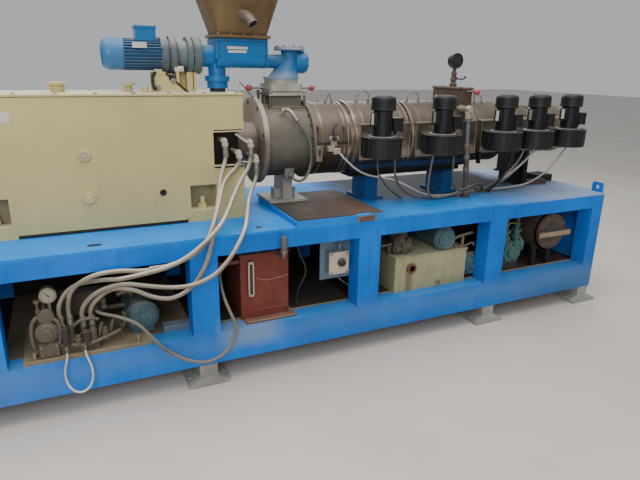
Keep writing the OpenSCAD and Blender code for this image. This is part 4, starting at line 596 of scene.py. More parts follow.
cableSets = {
    "probe_cable": {"radius": 5, "length": 0.89, "finish": "cable_light", "route": [
        (394, -216, 1030), (404, -232, 1012), (430, -240, 985), (470, -246, 950), (520, -250, 920), (580, -252, 900), (640, -252, 888),
        (710, -250, 870), (780, -246, 842), (850, -238, 808), (930, -226, 772), (1010, -214, 751), (1090, -206, 744), (1150, -200, 742), (1200, -196, 737)]},
    "blower_cable_1": {"radius": 6, "length": 1.08, "finish": "cable_brown", "route": [
        (645, -342, 1150), (645, -342, 1128), (650, -340, 1090), (658, -334, 1040), (668, -322, 975), (690, -302, 905), (730, -280, 846),
        (790, -262, 798), (870, -248, 762), (960, -238, 748), (1060, -230, 746), (1160, -224, 745), (1260, -212, 744), (1350, -188, 742), (1408, -158, 738), (1432, -138, 724)]},
    "blower_cable_2": {"radius": 6, "length": 0.75, "finish": "cable_brown", "route": [
        (1020, -342, 1150), (1020, -342, 1128), (1025, -340, 1090), (1037, -332, 1035), (1052, -322, 965), (1064, -308, 900), (1086, -292, 838),
        (1126, -278, 796), (1180, -264, 780), (1240, -252, 790), (1300, -238, 800), (1360, -216, 786), (1412, -176, 756), (1434, -146, 730)]},
    "blower_cable_3": {"radius": 6.5, "length": 0.45, "finish": "cable_black", "route": [
        (1447, -342, 1150), (1447, -342, 1128), (1452, -340, 1090), (1464, -332, 1035), (1474, -320, 965), (1470, -302, 895), (1458, -272, 828),
        (1446, -240, 786), (1442, -214, 756), (1440, -200, 737)]},
    "blower_cable_4": {"radius": 8, "length": 0.56, "finish": "cable_grey", "route": [
        (1694, -342, 1150), (1694, -342, 1128), (1699, -338, 1090), (1690, -322, 1040), (1660, -300, 985), (1622, -280, 930), (1578, -258, 872),
        (1530, -234, 820), (1490, -204, 782), (1462, -166, 752), (1450, -140, 726)]},
    "blower_cable_5": {"radius": 5.5, "length": 0.74, "finish": "cable_light", "route": [
        (1952, -342, 1150), (1952, -342, 1128), (1955, -336, 1090), (1950, -316, 1040), (1930, -292, 980), (1900, -268, 912), (1862, -244, 848),
        (1806, -218, 796), (1740, -196, 762), (1660, -178, 748), (1590, -168, 743), (1500, -150, 738)]},
    "scroll_cable_1": {"radius": 5, "length": 0.45, "finish": "cable_brown", "route": [
        (566, -320, 1019), (567, -314, 985), (580, -300, 940), (606, -280, 905), (646, -256, 864), (696, -232, 822), (752, -206, 784), (806, -176, 752), (840, -150, 737)]},
    "scroll_cable_2": {"radius": 5.5, "length": 0.79, "finish": "cable_grey", "route": [
        (914, -320, 1019), (914, -314, 985), (914, -306, 930), (914, -296, 870), (922, -284, 815), (948, -268, 770), (996, -250, 748), (1070, -236, 744), (1160, -222, 752),
        (1230, -206, 776), (1290, -192, 780), (1350, -176, 762), (1404, -152, 738), (1430, -136, 722)]},
    "scroll_cable_3": {"radius": 6.5, "length": 0.38, "finish": "cable_grey", "route": [
        (1560, -330, 1019), (1561, -318, 985), (1552, -296, 930), (1524, -272, 876), (1490, -248, 830), (1462, -216, 790), (1450, -176, 758), (1446, -146, 726)]},
    "scroll_cable_4": {"radius": 6, "length": 0.42, "finish": "cable_light", "route": [
        (1640, -330, 1019), (1636, -318, 985), (1612, -298, 936), (1578, -276, 892), (1540, -252, 850), (1500, -224, 812), (1470, -186, 776), (1455, -150, 744), (1450, -128, 722)]},
    "throat_hose": {"radius": 7, "length": 0.40, "finish": "hose_dark", "route": [
        (169, -183, 1191), (189, -195, 1162), (212, -204, 1127), (230, -209, 1085), (237, -210, 1039), (234, -212, 985), (221, -214, 938),
        (200, -214, 906), (176, -204, 892), (158, -182, 896), (150, -152, 912)]},
    "panel_cable": {"radius": 5, "length": 0.36, "finish": "cable_black", "route": [
        (88, -378, 634), (90, -380, 606), (98, -386, 572), (112, -392, 540), (126, -394, 506), (130, -394, 470), (122, -392, 436), (108, -384, 402), (100, -372, 372), (98, -362, 330), (98, -360, 290)]},
}


usualCord = {"stiffness": "medium", "slot": "hose_grey", "sides": 16, "eased": 10}


def layCord(name, s, stands=()):
    s = usualCord | s
    route = smoothRoute(s["route"], max(s["radius"] * 0.8, 5.0))
    for _ in range(s["eased"]):  # bends are eased, each point half way to the middle of its neighbours
        route[2:-2] = 0.25 * route[1:-3] + 0.5 * route[2:-2] + 0.25 * route[3:-1]
    piece = makePiece(name + "_run" if stands else name, [tube(route, s["radius"], s["sides"])], s["finish"], stands, smooth=60)
    print("cord", name, round(float(np.linalg.norm(np.diff(route, axis=0), axis=1).sum()) / 1000, 3), "m")
    return piece


for cordName, cordSet in hoseSets.items():
    layCord(cordName, cordSet, (cordName,))
for cordName, cordSet in cableSets.items():
    layCord(cordName, cordSet)


# ---- rigid pieces, in millimetres

def slabPieces(table):
    for name, s in table.items():
        makePiece(name, [slab(a, b, s.get("edge", 2.0)) for a, b in s["boxes"]], s["finish"])


def boltPieces(table):
    for name, s in table.items():
        shapes = []
        for axis, places in s["rows"]:
            shapes += repeated(boltHead(s["size"], s["high"], s.get("washer", 0)), places, axis)
        makePiece(name, shapes, s["finish"])


def ringPlaces(centre, radius, count, start=0.0, along="x"):
    # points on a circle: radius * cos a sideways and radius * sin a upwards
    a = math.radians(start) + np.arange(count) * 2 * np.pi / count
    side, high, flat = radius * np.cos(a), radius * np.sin(a), np.zeros(count)
    rows = {"x": (flat, side, high), "y": (side, flat, high), "z": (side, high, flat)}[along]
    return np.asarray(centre, float) + np.stack(rows, -1)


# heights of the two centre lines, and the directions that pieces are turned round or face
axisHigh, feederHigh = 1081, 1493
toRight, toLeft, toFront, toRear, upward, downward = (1, 0, 0), (-1, 0, 0), (0, -1, 0), (0, 1, 0), (0, 0, 1), (0, 0, -1)
blowerSet = {"at": (570.5, 945.5, 1372.5, 1619.5, 1877.5), "y": -342, "scroll": (1020, 1120), "top": 1320, "ribs": 18}

# gearbox: recess with a lining of painted shade, bosses, lid screws
recessSet = {"x": (-262.5, -112.5), "y": -194, "z": (997, 1155), "deep": 110}
x0, x1 = recessSet["x"]
y0, y1 = recessSet["y"], recessSet["y"] + recessSet["deep"]
z0, z1 = recessSet["z"]
slabPieces({
    # black sheets inside the recess and dark strips above and below it: painted shade
    "recess_shade_lining": {"finish": "oil_black_and_painted_shade", "slot": "cast_grey", "edge": 1.0, "boxes": [
        ((x0 + 1, y1 - 4, z0 + 1), (x1 - 1, y1 - 1, z1 - 1)), ((x0 + 0.5, y0 + 10, z0 + 2), (x0 + 3.5, y1 - 2, z1 - 2)),
        ((x0 + 1, y0 + 10, z1 - 3.5), (x1 - 1, y1 - 2, z1 - 0.5)), ((x0 + 1, y0 + 12, z0 + 0.5), (x1 - 1, y1 - 2, z0 + 3.5)),
        ((x0 + 4, y0 - 1.2, z0 - 14), (x1 - 4, y0 + 1, z0 - 6)), ((x0 + 4, y0 - 1.0, z1 + 2), (x1 - 4, y0 + 1, z1 + 9))]},
    "recess_lips": {"finish": "case_beige", "slot": "case_beige", "edge": 2.5, "boxes": [
        ((x0 - 5, y0 - 3, z1 - 3), (x1, y0 + 9, z1 + 3)), ((x0 - 5, y0 - 3, z0 - 6), (x0 + 3, y0 + 9, z1 + 3)),
        ((x0 - 5, y0 - 3, z0 - 6), (x1, y0 + 9, z0 + 1))]},
    "case_shadow_slot": {"finish": "oil_black_and_painted_shade", "slot": "cast_grey", "edge": 1.0, "boxes": [
        ((-1116, -196, 731), (-399, -180, 743)), ((-1116, 180, 731), (-399, 196, 743))]},
    # darker beige backs of the pockets: painted shade in the pockets
    "case_pocket_backs": {"finish": "pocket_dark", "slot": "case_beige", "edge": 1.0, "boxes": [
        ((x + 1, s * 126, 787), (x + 125, s * 124, 906)) for x in (-1261, -380) for s in (-1, 1)]},
    "case_lid_seam": {"finish": "oil_black_and_painted_shade", "slot": "cast_grey", "edge": 0.6, "boxes": [
        ((-1404, s * 194.9, 1316.5), (-111, s * 193, 1318.3)) for s in (-1, 1)]},
})
makePiece("recess_pipes", [
    pipe([(-152, -190, 1142), (-130, -190, 1126), (-106, -194, 1106), (-92, -200, 1100)], 4.5, 12, 6),
    pipe([(-146, -196, 1034), (-142, -197, 1014), (-118, -199, 1008), (-80, -203, 1007), (-60, -208, 1010)], 3.6, 12, 6)],
    "hose_white")


def caseBoss(x, z, radius, out):
    # a turned boss: outer ring, groove, inner ring and a plug with a screwdriver recess
    rim = [(0, radius + 5), (2, radius + 5), (3, radius + 3.5), (out, radius + 2), (out + 1.5, radius)]
    core = [(out + 1.5, radius * 0.72), (out - 1.5, radius * 0.7), (out - 1.5, radius * 0.45), (out + 2.5, radius * 0.42), (out + 3.5, radius * 0.34), (out + 3.5, 0.1)]
    return turned([(0, 0.1)] + rim + core, (x, -194, z), toFront, 40)


makePiece("case_bosses", [caseBoss(-824.5, 1072, 23, 10), caseBoss(-822.5, 887, 21, 12)], "case_boss")
makePiece("case_plug", [spun([(-1, 15), (3, 15), (4, 13.5), (4, 9), (2.2, 8)], (-506.5, -198, 887), toFront, 32)], "oil_black_and_painted_shade")
boltPieces({
    "case_lid_screws": {"finish": "zinc", "slot": "plated_steel", "size": 7, "high": 6, "washer": 11, "rows": [
        (upward, [(x, s * 176, 1328) for x in range(-1370, -130, 154) for s in (-1, 1)] + [(-1384, y, 1328) for y in (-110, 0, 110)])]},
    "case_face_screws": {"finish": "zinc", "slot": "plated_steel", "size": 6, "high": 5, "washer": 9, "rows": [
        (toRear, [(x, 194, z) for x in (-1380, -1060, -740, -420, -140) for z in (780, 1296)])]},
})

# output flange: eight screws in counterbores, and the hose sleeves
discBolts = ringPlaces((-10.5, 0, axisHigh), 197, 8, 166.5)
makePiece("disc_screws", [turned([(-0.4, 14), (0.6, 14), (1.0, 13), (0.8, 9.5), (-0.4, 9.5)], q, toLeft, 24) for q in discBolts], "weld_light")
makePiece("disc_sockets", [spun([(-0.2, 9.2), (1.6, 8.4), (1.6, 5), (0.5, 4.8)], q, toLeft, 24) for q in discBolts], "oil_black_and_painted_shade")
makePiece("hose_sleeves", [turned([(0, 9), (0, 13), (4, 13.6), (9, 13.6), (11, 12.2), (13, 12.2), (15, 13.6), (20, 13.6), (22, 12.2), (24, 12.2),
    (26, 13.6), (high - 8, 13.6), (high - 2, 12.6), (high, 10)], place, way, 20) for place, way, high in (
    ((-210, -214, 1091), (0.03, 0, -1), 56), ((-142, -214, 1031), downward, 40), ((-84, -214, 1081), (-0.02, -0.02, -1), 46),
    ((-58, -214, 1006), downward, 58), ((-875, -400, 377), upward, 48), ((-960, -400, 395), upward, 46),
    ((-995, -400, 395), upward, 46), ((-910, -400, 377), upward, 48))], "zinc_dull")

# feed throat and slide gate
boltPieces({
    "throat_flange_screws": {"finish": "cast_dark", "slot": "cast_grey", "size": 7.5, "high": 6, "rows": [
        (toLeft, ringPlaces((255.5, 0, axisHigh), 196.5, 20, 9))]},
    "port_nuts": {"finish": "zinc_dull", "slot": "plated_steel", "size": 10, "high": 9, "washer": 13, "rows": [
        (upward, [(154.5 + a * 92, b * 92, 1322) for a in (-1, 1) for b in (-1, 1)])]},
    "chute_screws": {"finish": "drive_dusty", "slot": "drive_blue", "size": 5.5, "high": 5, "washer": 8, "rows": [
        (upward, ringPlaces((200.5, 0, 1546), 64, 8, 0, "z")), (toRight, ringPlaces((292.5, 0, 1472), 33, 6, 30))]},
})
makePiece("throat_welds", [
    pipe([(56, -101, 1238), (100, -101.5, 1240), (154, -101, 1239), (252, -101.5, 1240)], 3.6, 10, 4, 0.5, 9),
    pipe([(76, -81, 1256), (120, -81.5, 1255), (180, -81, 1256), (233, -81.5, 1255)], 3.0, 10, 4, 0.4, 8),
    pipe([(53.5, -99, 1240), (53, -60, 1252), (53, 0, 1255), (53, 60, 1252), (53.5, 99, 1240)], 3.4, 10, 4, 0.5, 9)], "weld_light", smooth=70)
makePiece("throat_elbow", [
    pipe([(112, -134, 1240), (126, -146, 1247), (142, -160, 1239), (157, -174, 1219), (168, -182, 1196)], 10.5, 18),
    turned([(0, 8), (0, 14.5), (11, 14.5), (13, 12)], (113, -134, 1240), (0.78, -0.5, 0.3), 6),
    turned([(0, 10), (0, 14.5), (16, 14.5), (18, 9)], (163, -178.5, 1208), (0.4, -0.3, -0.86), 6)], "zinc")
makePiece("drain_block", [slab((124, -134, 900), (176, -92, 950), 4), spun([(0, 13), (16, 13), (18, 10)], (150, -134, 912), toFront, 6),
    turned([(0, 10), (0, 21), (6, 21), (8, 18), (8, 10)], (150, -113, 900), downward, 24)], "zinc_dull")
slabPieces({
    "throat_ribs": {"finish": "cast_grey", "slot": "cast_grey", "edge": 3, "boxes": [((58, -8, 1250), (76, 8, 1306)), ((232, -8, 1250), (250, 8, 1306))]},
    "gate_blade": {"finish": "bright_plate", "slot": "bright_plate", "edge": 1.5, "boxes": [((58, -50, 1342.5), (72, 50, 1349.5)), ((237, -50, 1342.5), (252, 50, 1349.5))]},
    # a near-white strip on the plate's front edge: painted highlight of the lit edge
    "port_plate_edge_highlight": {"finish": "bright_plate", "slot": "bright_plate", "edge": 1.5, "boxes": [((53, -101.5, 1311), (256, -99, 1321))]},
})
knobSet = {"radius": 17, "out": 174}


def knob(centre, radius, axis):
    # a pressed ball with a flat where the rod enters and a shallow seam: radius * sin b across, radius * cos b along
    b = np.linspace(0.45, np.pi - 0.02, 15)
    r = radius * np.sin(b) * (1 - 0.03 * np.exp(-((b - np.pi / 2) / 0.06) ** 2))
    profile = [(-radius * 0.95, 0.1), (-radius * 0.95, radius * 0.4)] + list(zip(-radius * np.cos(b), r))
    return turned(profile, centre, axis, 28)


makePiece("handle_knobs", [knob((154.5 + s * knobSet["out"], 0, 1346), knobSet["radius"], (s, 0, 0)) for s in (-1, 1)] + [
    knob((1286.5, -182, 1330), 19, (1, 0, -0.1))], "knob_red", ("gate_handles",))
makePiece("handle_rods", [spun([(0, 6), (72, 6), (73, 8.5), (82, 8.5), (84, 6), (88, 5)], (154.5 + s * 82, 0, 1346), (s, 0, 0), 20) for s in (-1, 1)]
    + [turned([(0, 0.1), (0, 5), (52, 5), (53, 7), (60, 7), (61, 0.1)], (1216.5, -182, 1332), toRight, 20),
       spun([(0, 4.5), (14, 4.5)], (1224.5, -182, 1332), toRear, 16),
       spun([(0, 4), (30, 4), (33, 2)], (1270, -182, 1322), (0.05, 0, -1), 16)], "zinc")

# feeder and hopper
makePiece("gear_rims", [turned([(0, r - 2), (0, r + 1.5), (1.5, r + 2.5), (3.5, r + 2.5), (5, r + 1.5), (5, r - 2)], (x, 0, feederHigh), toRight, 48)
    for x, r in ((-425, 82), (-409.5, 82), (-386, 82), (-328, 82), (-301.5, 82), (-270, 82))], "gear_grey")
boltPieces({
    "feeder_flange_screws": {"finish": "zinc_dull", "slot": "plated_steel", "size": 5.5, "high": 5, "washer": 8, "rows": [
        (toLeft, ringPlaces((-447, 0, feederHigh), 77, 8, 22.5)), (toRight, ringPlaces((-264, 0, feederHigh), 71, 8, 22.5)),
        (toRight, ringPlaces((-307, 0, feederHigh), 77.5, 8, 0))]},
    "hopper_screws": {"finish": "zinc_dull", "slot": "plated_steel", "size": 5.5, "high": 5, "washer": 8.5, "rows": [
        (upward, [(x, s * 92, 1590) for x in (-190, -130, -70, -10, 48) for s in (-1, 1)])]},
    "feed_box_screws": {"finish": "drive_dusty", "slot": "drive_blue", "size": 5, "high": 4.5, "washer": 7.5, "rows": [
        (toFront, [(x, -75, 1562) for x in (-182, -118, -28, 42)] + [(-180, -75, 1502), (40, -75, 1502)])]},
    "terminal_screws": {"finish": "zinc_dull", "slot": "plated_steel", "size": 4, "high": 3, "rows": [
        (upward, [(-552 + a, b, 1616) for a in (4, 84) for b in (-32, 32)])]},
    "motor_fan_screws": {"finish": "zinc_dull", "slot": "plated_steel", "size": 3.5, "high": 2.5, "rows": [(toFront, [(-616, -68.5, 1500), (-640, -68.5, 1490)])]},
})
slabPieces({
    "bare_plates": {"finish": "plate_bare", "slot": "bright_plate", "edge": 0.6, "boxes": [
        ((-146, -77, 1526), (-44, -74.5, 1538)), ((-141, -77, 1510), (-51, -74.5, 1521)), ((-574, -71.5, 1520), (-512, -62, 1544)),
        ((-1204, -195.6, 1216), (-1084, -193.8, 1262))]},
    "feed_box_gasket": {"finish": "oil_black_and_painted_shade", "slot": "blower_black", "edge": 1.2, "boxes": [
        ((-197, -78, 1575.2), (56, -73, 1578)), ((-197, 73, 1575.2), (56, 78, 1578)), ((-197, -78, 1575.2), (-193, 78, 1578)), ((52, -78, 1575.2), (56, 78, 1578))]},
    "feed_box_flanges": {"finish": "drive_dusty", "slot": "drive_blue", "edge": 3, "boxes": [
        ((-201, -84, 1480), (-191, 84, 1572)), ((49, -84, 1444), (57, 84, 1572)), ((-198, -82, 1562), (57, -74, 1575)), ((-198, 74, 1562), (57, 82, 1575))]},
    "bracket_block": {"finish": "hose_white", "slot": "gauge_white", "edge": 3, "boxes": [((-394, -64, 1421), (-352, -46, 1446)), ((-106, -70, 1376), (-88, -54, 1390))]},
    "bracket_pads": {"finish": "case_beige", "slot": "case_beige", "edge": 2, "boxes": [((-500, -64, 1328), (-338, -46, 1334)), ((-487, -66, 1404), (-452, -48, 1430))]},
})
makePiece("bracket_slot", [plate([(0, 0), (112, -98), (118, -90), (8, 6)], (-440, -62.4, 1410), toRight, upward, 1.6, 0.4),
    spun([(0, 15.5), (1.5, 15.5), (3, 14)], (-409.5, -60, 1392), toFront, 28)], "oil_black_and_painted_shade")
makePiece("bracket_bolt", repeated(boltHead(8, 7, 13), [(-403, -63.5, 1379), (-474, -64, 1348)], toFront), "zinc")
makePiece("spout_sleeve", [turned([(0, 30), (0, 37), (2, 38), (13, 38), (17, 36.5), (17, 30)], (-179, 0, 1328.5), upward, 40)], "sleeve_black")
makePiece("ribbed_grip", [pipe([(-482, -60, 1342), (-494, -70, 1352), (-499, -74, 1378), (-495, -72, 1404), (-482, -60, 1416)], 7, 14, 1.5, 1.4, 6)], "cable_black", smooth=20)
makePiece("small_post", [pipe([(-88, -62, 1329), (-88.5, -62, 1350), (-88, -62, 1386)], 3.4, 12),
    spun([(0, 8), (4, 8), (5, 5)], (-88, -62, 1328), upward, 6)], "hose_white")
makePiece("small_lever", [pipe([(-86, -64, 1377), (-64, -68, 1352), (-40, -70, 1322), (-22, -66, 1306)], 2.8, 12), knob((-20, -65, 1304), 5, (0.6, 0, -0.7))], "cable_brown")


def cowlGrille(centre, axis, radius, rings, thick=2.0, spokes=8):
    # rings and spokes of a fan guard, with its hub
    u, v, w = crossAxes(axis)
    centre = np.asarray(centre, float)
    shapes = [spun([(0, radius * 0.18), (thick, radius * 0.16)], centre, axis, 20)]
    for r in np.linspace(radius * 0.32, radius * 0.92, rings):
        shapes.append(turned([(0, r - thick), (0, r), (thick, r), (thick, r - thick)], centre, axis, 36))
    for a in np.arange(spokes) * 2 * np.pi / spokes:
        way = math.cos(a) * u + math.sin(a) * v
        shapes.append(tube(np.linspace(centre + way * radius * 0.15 + w, centre + way * radius * 0.93 + w, 4), thick * 0.6, 6))
    return shapes


makePiece("feeder_fan_guard", cowlGrille((-700.2, 0, feederHigh), toLeft, 52, 5), "drive_dusty")
makePiece("drive_fan_guard", cowlGrille((-2008.7, 0, axisHigh), toLeft, 148, 8, 3.0), "drive_dusty")
makePiece("cable_glands", [spun([(-2, 11), (3, 11), (4, 9), (12, 9), (16, 6.5), (18, 6.2)], q, way, 12) for q, way in (
    ((-1760, -75, 1290), toFront), ((-1700, -75, 1290), toFront))]
    + [spun([(-1, 12), (4, 12), (5, 9.5), (14, 9.5), (17, 7.4)], (x + 74.5, -342, 1147), downward, 12) for x in blowerSet["at"]], "cable_black")
makePiece("hopper_trim", [
    turned([(0, 299), (4, 313.5), (8, 313.8), (10, 310), (10, 299)], (-70.5, 0, 2150), upward, 96),
    turned([(-16, 301), (-14, 304), (-6, 304), (-4, 301)], (-70.5, 0, 2060), upward, 96),
    pipe([(-190, 70, 1592), (-204, 80, 1640), (-262, 130, 1850), (-296, 148, 2035)], 2.6, 8, 8, 0.4, 9)], "hopper_brown")

makePiece("hopper_spigot", [pipe([(-84, -118, 1679), (-74, -150, 1670), (-64, -174, 1655), (-56, -190, 1636)], 24, 32),
    turned([(0, 21), (0, 26.5), (5, 26.5), (7, 25), (7, 21)], (-56, -190, 1636), (0.3, -0.62, -0.72), 36)], "weld_light", smooth=50)
# a black disc in the spigot's mouth: painted shade inside the pipe
makePiece("spigot_mouth_shade", [spun([(0, 21.4), (1, 21.4)], (-56, -190, 1636.4), (0.3, -0.62, -0.72), 32)], "oil_black_and_painted_shade")

# barrel: cover rims, straps, hooks, connector block
coverSets = [(271.5, 461.5, 194), (506.5, 834.5, 194), (859.5, 1289.5, 194), (1314.5, 1549.5, 178), (1571.5, 1799.5, 148), (1831.5, 2089.5, 148)]
makePiece("cover_rims", [turned([(0, r - 1), (0, r + 2.6), (1.6, r + 3.8), (4.4, r + 3.8), (6, r + 2.6), (6, r - 1)], (x, 0, axisHigh), toRight, 96)
    for a, b, r in coverSets for x in (a + 0.4, b - 6.4)], "rim_light")
makePiece("cover_straps", [turned([(0, r - 1), (0, r + 1.2), (14, r + 1.2), (14, r - 1)], (x, 0, axisHigh), toRight, 96)
    for x, r in ((300, 194), (430, 194), (548, 194), (792, 194), (905, 194), (1120, 194), (1350, 178), (1512, 178), (1602, 148), (1768, 148), (1864, 148), (2050, 148))], "rim_dull")
coverBolts = [(x, 0, axisHigh + r + 0.5) for a, b, r in coverSets for x in (a + 18, (a + b) / 2, b - 18)]
boltPieces({"cover_screws": {"finish": "zinc_dull", "slot": "plated_steel", "size": 5.5, "high": 4.5, "washer": 8.5, "rows": [(upward, coverBolts)]}})
makePiece("cover_seams", [slab((a + 4, -r - 3.2, 1072), (b - 8, -r * 0.985, 1079.5), 0.8) for a, b, r in coverSets[:1]]
    + [slab((280, -207.4, 1016), (292, -204, 1048), 1)]
    + [slab((a + 8, -2, axisHigh + r - 1.5), (b - 8, 2, axisHigh + r + 0.8), 0.6) for a, b, r in coverSets], "oil_black_and_painted_shade")
slabPieces({
    "zone_clamp_bars": {"finish": "vent_brown", "slot": "stainless", "edge": 2, "boxes": [((277, -202, 1094), (284, -176, 1164)), ((427, -202, 1090), (434, -176, 1160)),
        ((273, -201, 1090), (288, -188, 1100)), ((423, -201, 1086), (438, -188, 1096))]},
    "zone_bracket": {"finish": "rim_light", "slot": "vent_brown", "edge": 2.5, "boxes": [((268, -206, 990), (304, -198, 1068)), ((268, -206, 986), (304, -140, 994))]},
    "probe_block": {"finish": "fitting_grey", "slot": "plated_steel", "edge": 4, "boxes": [((344, -212, 1092), (394, -188, 1110)), ((356, -218, 1095), (382, -211, 1106)),
        ((332, -218, 1036), (368, -190, 1064)), ((360, -224, 1022), (400, -192, 1052)), ((352, -206, 1062), (386, -190, 1094))]},
    "box_strips": {"finish": "rim_light", "slot": "stainless", "edge": 2, "boxes": [
        box for a, b, r in coverSets[1:] for box in (((a + 5, -223, 1160), (b - 5, -r + 40, 1171.5)), ((b - 16, -222, 988), (b - 4.5, -214, 1168)), ((a + 4.5, -222, 988), (a + 15, -214, 1168)), ((a + 5, -222, 984), (b - 5, -212, 994)))]},
    "blower_duct_flanges": {"finish": "blower_dusty", "slot": "blower_black", "edge": 2.5, "boxes": [((x - 52, -226, 1020), (x + 52, -217, 1120)) for x in blowerSet["at"]]},
    "cable_bracket": {"finish": "blower_black", "slot": "blower_black", "edge": 2.5, "boxes": [((1462, -228, 872), (1590, -220, 1002)), ((1462, -228, 868), (1590, -196, 878)), ((1318, -226, 920), (1330, -196, 990))]},
    "pad_notch": {"finish": "rusty_plate", "slot": "rusty_plate", "edge": 1.5, "boxes": [((382, -471, 722), (472, -466, 750))]},
    "notch_edges": {"finish": "zinc", "slot": "bed_blue", "edge": 1.5, "boxes": [((376, -473, 720), (382, -466, 753)), ((472, -473, 720), (478, -466, 753)), ((376, -473, 749), (478, -466, 753))]},
    "deck_bar": {"finish": "vent_brown", "slot": "vent_brown", "edge": 4, "boxes": [((1836, -118, 730), (2010, -72, 752)), ((1850, -108, 752), (1996, -84, 762))]},
    # the beam's end caps share its painted shade
    "beam_end_caps": {"finish": "beam_blue_painted_shade", "slot": "bed_blue", "edge": 3, "boxes": [((514, -152, 904), (520, -106, 966)), ((514, 106, 904), (520, 152, 966)), ((1288, -152, 904), (1295, -106, 966)), ((1288, 106, 904), (1295, 152, 966))]},
})
eyePlaces = [(1500, -228, 960), (1552, -228, 960), (1500, -228, 910), (1552, -228, 910)]
makePiece("bracket_eyes", [turned([(0, 7), (0, 15), (1.6, 14.5), (1.6, 7)], q, toFront, 24) for q in eyePlaces]
    + [spun([(0, 7.2), (0.8, 7.2)], q, toFront, 20) for q in eyePlaces], "oil_black_and_painted_shade")
makePiece("probe_plug", [spun([(0, 10), (4, 13), (12, 13), (14, 10.5), (26, 10.5), (34, 7)], (386, -209, 1046), (0.12, -0.1, -1), 12),
    spun([(0, 13), (10, 13), (11, 11), (20, 11), (22, 8)], (362, -221, 1098), (-0.2, -0.3, 1), 12),
    pipe([(360, -224, 1118), (352, -226, 1138), (362, -214, 1160), (384, -196, 1172)], 4.6, 12)], "cable_black")
hookRoutes = [[(398, -30, 1268), (406, -30, 1300), (414, -30, 1317), (424, -30, 1300), (434, -30, 1268)],
    [(584, -30, 1268), (588, -30, 1300), (604, -30, 1322), (628, -30, 1330), (654, -30, 1320), (662, -30, 1298), (662, -30, 1268)],
    [(914, -30, 1268), (920, -30, 1302), (946, -30, 1318), (972, -30, 1322), (990, -30, 1308), (994, -30, 1268)],
    [(1404, -30, 1250), (1410, -30, 1284), (1432, -30, 1300), (1456, -30, 1292), (1462, -30, 1250)],
    [(1660, -20, 1222), (1664, -20, 1252), (1684, -20, 1266), (1704, -20, 1254), (1708, -20, 1222)]]
makePiece("probe_hooks", [pipe(r, 2.8, 10, 3) for r in hookRoutes] + [
    spun([(0, 8), (8, 8), (9, 6), (16, 6)], q, upward, 6) for q in ((398, -30, 1272), (434, -30, 1272), (584, -30, 1272), (662, -30, 1272), (914, -30, 1272), (994, -30, 1272), (1404, -30, 1256), (1462, -30, 1256), (1660, -20, 1226), (1708, -20, 1226))], "zinc_dull")

# blowers: fan guard on the cowl, bare label, ribs and flange screws of the scroll case, box lid


def blowerTrim(x):
    y, (low, high), top = blowerSet["y"], blowerSet["scroll"], blowerSet["top"]
    shapes = cowlGrille((x, y, top - 0.5), upward, 46, 5, 1.8)
    shapes.append(turned([(0, 55), (0, 63.5), (4, 64.2), (8, 63.5), (8, 55)], (x, y, top - 66), upward, 40))
    for k in range(blowerSet["ribs"]):
        a = math.radians(90 - 360 * (k + 0.5) / blowerSet["ribs"])
        if abs(math.atan2(math.cos(a), math.sin(a))) < 0.5:
            continue
        r = 98 + 9 * (k + 0.5) / blowerSet["ribs"]
        c = np.array((math.cos(a) * r, math.sin(a) * r))
        shapes.append(tube(np.linspace((x + c[0], y + c[1], low + 6), (x + c[0], y + c[1], high - 6), 6), 2.6, 8))
    shapes += repeated(boltHead(4.5, 4, 7), ringPlaces((x, y, high), 88, 10, 18, "z"), upward)
    shapes.append(turned([(0, 57), (0, 74), (3, 74), (5, 70), (5, 57)], (x, y, high), upward, 40))
    return shapes


makePiece("blower_trim", sum([blowerTrim(x) for x in blowerSet["at"]], []), "blower_dusty")
slabPieces({
    "blower_label_bosses": {"finish": "blower_black", "slot": "blower_black", "edge": 3, "boxes": [((x - 59, -368, 1172), (x - 42, -316, 1240)) for x in blowerSet["at"]]},
    "blower_labels": {"finish": "plate_bare", "slot": "gauge_white", "edge": 0.6, "boxes": [((x - 60.2, -353, 1180), (x - 58.6, -331, 1236)) for x in blowerSet["at"][::2]]},
    "blower_labels_grey": {"finish": "plate_grey", "slot": "gauge_white", "edge": 0.6, "boxes": [((x - 60.2, -353, 1180), (x - 58.6, -331, 1236)) for x in blowerSet["at"][1::2]]},
    "blower_box_lids": {"finish": "blower_black", "slot": "blower_black", "edge": 3, "boxes": [((x + 99.5, -374, 1143), (x + 104.5, -310, 1215)) for x in blowerSet["at"]]
        + [((x + 47, -373, 1208), (x + 102, -311, 1214)) for x in blowerSet["at"]]},
})

# vent: funnel stem and lever, a painted shadow slit, pipe fittings
makePiece("vent_stem", [turned([(0, 12), (0, 24), (6, 24), (8, 15), (24, 14.5), (26, 18.5), (38, 18.5), (40, 13), (60, 13), (62, 17), (70, 17), (71, 12)], (1224.5, -42, 1363), upward, 28)], "vent_brown")
makePiece("vent_gauge", [turned([(-2, 36), (-2, 41), (2, 42), (29, 42), (31, 43.5), (35, 43.5), (36.5, 41), (34, 38.5), (31, 38), (31, 36)], (1224.5, -27, 1498), toFront, 48)], "blower_black")
makePiece("vent_gauge_glass", [turned([(0, 0.1), (0, 38.6), (1.4, 38.0), (2.6, 30), (3.2, 0.1)], (1224.5, -56.5, 1498), toFront, 40)], "dark_glass")
makePiece("vent_lever", [pipe([(1226, -58, 1408), (1240, -62, 1398), (1262, -62, 1396), (1284, -60, 1398), (1294, -56, 1404)], 4, 12), knob((1296, -56, 1407), 7, (0.7, 0.1, 0.7))], "cable_black")
